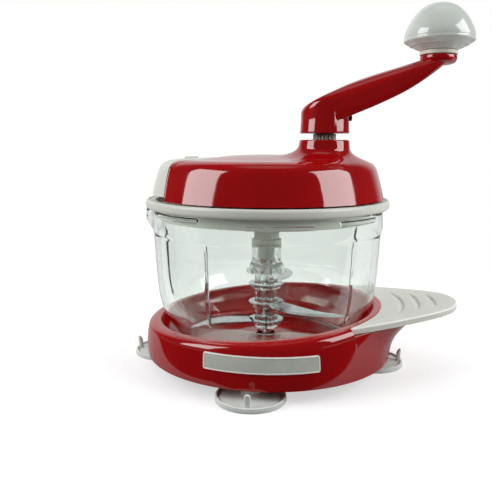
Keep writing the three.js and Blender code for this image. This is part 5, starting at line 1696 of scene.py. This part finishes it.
@dataclass
class Studio:
    """Pale floor, white surroundings, two window-like lamps and the camera.

    Attributes:
        eye: Place of the camera in mm.
        right: Camera's right axis.
        down: Camera's down axis.
        ahead: Camera's forward axis.
        lens: Focal length in mm.
        sensor: Width in mm of the sensor that it is for.
        aim: Height in metres at which the lamps point.
        lamps: The lamps.
        soft: Soft light from the surroundings, which falls off ahead of the object.
        behind: What reflections see behind it.
        above: What they see above it.
        sides: What they see at its sides.
        side_top: Share of the sides that is left higher up.
        grey: Colour of the lit floor.
        glow: What the floor adds to its lit colour where it is seen directly.
        fade: Distances in metres from the axis between which the seen floor turns white.
        floor_end: Two edges ahead of the object at which the unseen floor ends.
        dark: Brightness of the floor past them.
        diffuse_share: How far soft light takes part in that.
        floor_half: Half width of the floor in metres.
    """

    eye: tuple[float, float, float] = (33.81, -450.39, 163.19)
    right: tuple[float, float, float] = (0.99392, 0.11006, 0.00333)
    down: tuple[float, float, float] = (0.02019, -0.15246, -0.9881)
    ahead: tuple[float, float, float] = (-0.10824, 0.98216, -0.15375)
    lens: float = 43.83
    sensor: float = 36.0
    aim: float = 0.14
    lamps: tuple[Lamp, ...] = (Lamp("window_left", -155.5, (0.74, 0.86)),
                               Lamp("window_right", -13.0, (0.82, 0.86)))
    soft: Step = Step((0.09, -0.99, 0.1), -0.15, 0.65, 1.05, 0.05)
    behind: Step = Step((-0.1, 0.98, 0.15), 0.6, 0.88, 0.05, 0.72)
    above: Step = Step((0.0, 0.1, 0.99), 0.93, 0.99, 0.05, 0.5)
    sides: tuple[Step, Step] = (Step((0.995, 0.096, 0.0), 0.7, 0.76, 0.0, 0.5),
                                Step((-0.995, -0.096, 0.0), 0.7, 0.76, 0.0, 0.5))
    side_top: Step = Step((0.0, 0.0, 1.0), 0.0, 0.06, 1.0, 0.0)
    grey: float = 0.5
    glow: float = 0.54
    fade: Place = (0.18, 0.45)
    floor_end: tuple[Step, Step] = (Step((0.0958, -0.9954, 0.0), 0.096, 0.101),
                                    Step((-0.6806, -1.0701, 0.0), 0.154, 0.16))
    dark: float = 0.03
    diffuse_share: float = 0.45
    floor_half: float = 6.0

    def camera(self) -> None:
        """Creates the camera."""
        data = bpy.data.cameras.new("camera")
        data.lens = self.lens
        data.sensor_width = self.sensor
        data.clip_start = 0.01
        camera = bpy.data.objects.new("camera", data)
        bpy.context.scene.collection.objects.link(camera)
        rows = Matrix((self.right, [-d for d in self.down], [-a for a in self.ahead])).transposed()
        place = Matrix.Translation(Vector(self.eye) / MM + Vector((BOWL_AXIS, 0.0, 0.0)))
        camera.matrix_world = place @ rows.to_4x4()
        bpy.context.scene.camera = camera

    def hang(self, lamp: Lamp) -> None:
        """Adds a lamp.

        Args:
            lamp: The lamp.
        """
        data = bpy.data.lights.new(lamp.name, "AREA")
        data.shape = "RECTANGLE"
        data.size, data.size_y = lamp.size
        data.energy = lamp.radiance * math.pi * lamp.size[0] * lamp.size[1]
        hung = bpy.data.objects.new(lamp.name, data)
        bpy.context.scene.collection.objects.link(hung)
        place = Vector((*polar(lamp.distance, math.radians(lamp.azimuth)), lamp.height))
        hung.location = place
        hung.rotation_euler = (Vector((0.0, 0.0, self.aim)) - place).to_track_quat("-Z", "Y").to_euler()

    def world(self) -> None:
        """Surroundings: white to the camera and through clear pieces.

        The soft light falls to almost nothing ahead of the object. Reflections see bright surfaces
        behind and above it and low at its sides, and darkness elsewhere.
        """
        world = bpy.data.worlds.new("studio")
        bpy.context.scene.world = world
        build = ShaderBuilder(world)
        path = build.node("ShaderNodeLightPath").outputs
        where = build.node("ShaderNodeTexCoord").outputs["Generated"]
        behind, above = build.toward(where, self.behind), build.toward(where, self.above)
        sides = build.math("MAXIMUM", *(build.toward(where, side) for side in self.sides))
        sides = build.math("MULTIPLY", sides, build.toward(where, self.side_top))
        mirrored = build.math("MAXIMUM", build.math("MAXIMUM", behind, above), sides)
        strength = build.blend(path["Is Glossy Ray"], build.toward(where, self.soft), mirrored)
        seen = build.math("MAXIMUM", path["Is Camera Ray"], path["Is Transmission Ray"])
        inputs = {"Color": (1.0, 1.0, 1.0, 1.0), "Strength": build.blend(seen, strength, 1.0)}
        light = build.node("ShaderNodeBackground", inputs).outputs["Background"]
        build.node("ShaderNodeOutputWorld", {"Surface": light})

    def floor_material(self) -> bpy.types.Material:
        """Material that keeps the object's shadow and turns white away from it.

        Reflections see the floor end a little ahead of the object, and part of the soft light does.

        Returns:
            The material.
        """
        build = ShaderBuilder(bpy.data.materials.new("floor_white"))
        path = build.node("ShaderNodeLightPath").outputs
        where = build.node("ShaderNodeTexCoord").outputs["Object"]
        seen = build.math("MAXIMUM", path["Is Camera Ray"], path["Is Transmission Ray"])
        lit = build.node("ShaderNodeBsdfDiffuse", {"Color": (self.grey, self.grey, self.grey, 1.0)})
        glow = build.node("ShaderNodeEmission", {"Strength": build.math("MULTIPLY", seen, self.glow)})
        near = build.node("ShaderNodeAddShader", {0: lit.outputs["BSDF"], 1: glow.outputs["Emission"]})
        away = build.node("ShaderNodeVectorMath", {0: where}, operation="LENGTH").outputs["Value"]
        far = build.math("MULTIPLY", seen, build.ranged(away, *self.fade, 0.0, 1.0, "SMOOTHSTEP"))
        white = build.node("ShaderNodeEmission").outputs["Emission"]
        blend = build.node("ShaderNodeMixShader", {0: far, 1: near.outputs["Shader"], 2: white})
        unseen = build.math("MAXIMUM", path["Is Glossy Ray"],
                            build.math("MULTIPLY", path["Is Diffuse Ray"], self.diffuse_share))
        ahead = build.math("MAXIMUM", *(build.toward(where, edge) for edge in self.floor_end))
        black = build.node("ShaderNodeEmission", {"Strength": self.dark}).outputs["Emission"]
        ended = build.node("ShaderNodeMixShader", {
            0: build.math("MULTIPLY", unseen, ahead), 1: blend.outputs["Shader"], 2: black})
        build.node("ShaderNodeOutputMaterial", {"Surface": ended.outputs["Shader"]})
        return build.owner

    def floor(self) -> None:
        """Lays the pale floor."""
        mesh = bpy.data.meshes.new("floor")
        half = self.floor_half
        corners = [(-half, -half, 0), (half, -half, 0), (half, half, 0), (-half, half, 0)]
        mesh.from_pydata(corners, [], [(0, 1, 2, 3)])
        mesh.materials.append(self.floor_material())
        floor = bpy.data.objects.new("floor", mesh)
        bpy.context.scene.collection.objects.link(floor)

    def build(self) -> None:
        """Sets up the whole studio."""
        self.camera()
        self.world()
        self.floor()
        for lamp in self.lamps:
            self.hang(lamp)
        bpy.context.scene.view_settings.view_transform = "Standard"


def main() -> None:
    """Builds every sub-assembly and the studio."""
    logging.basicConfig(level=logging.INFO, format="%(message)s")
    crank = Crank()
    knob = Knob(crank.knob_place)
    for maker in (Stand(), Bowl(), BladeSet(), Lid(), Flap(), crank, knob, Spindle(), Studio()):
        maker.build()
        LOG.info("built %s", type(maker).__name__)


if __name__ == "__main__":
    main()
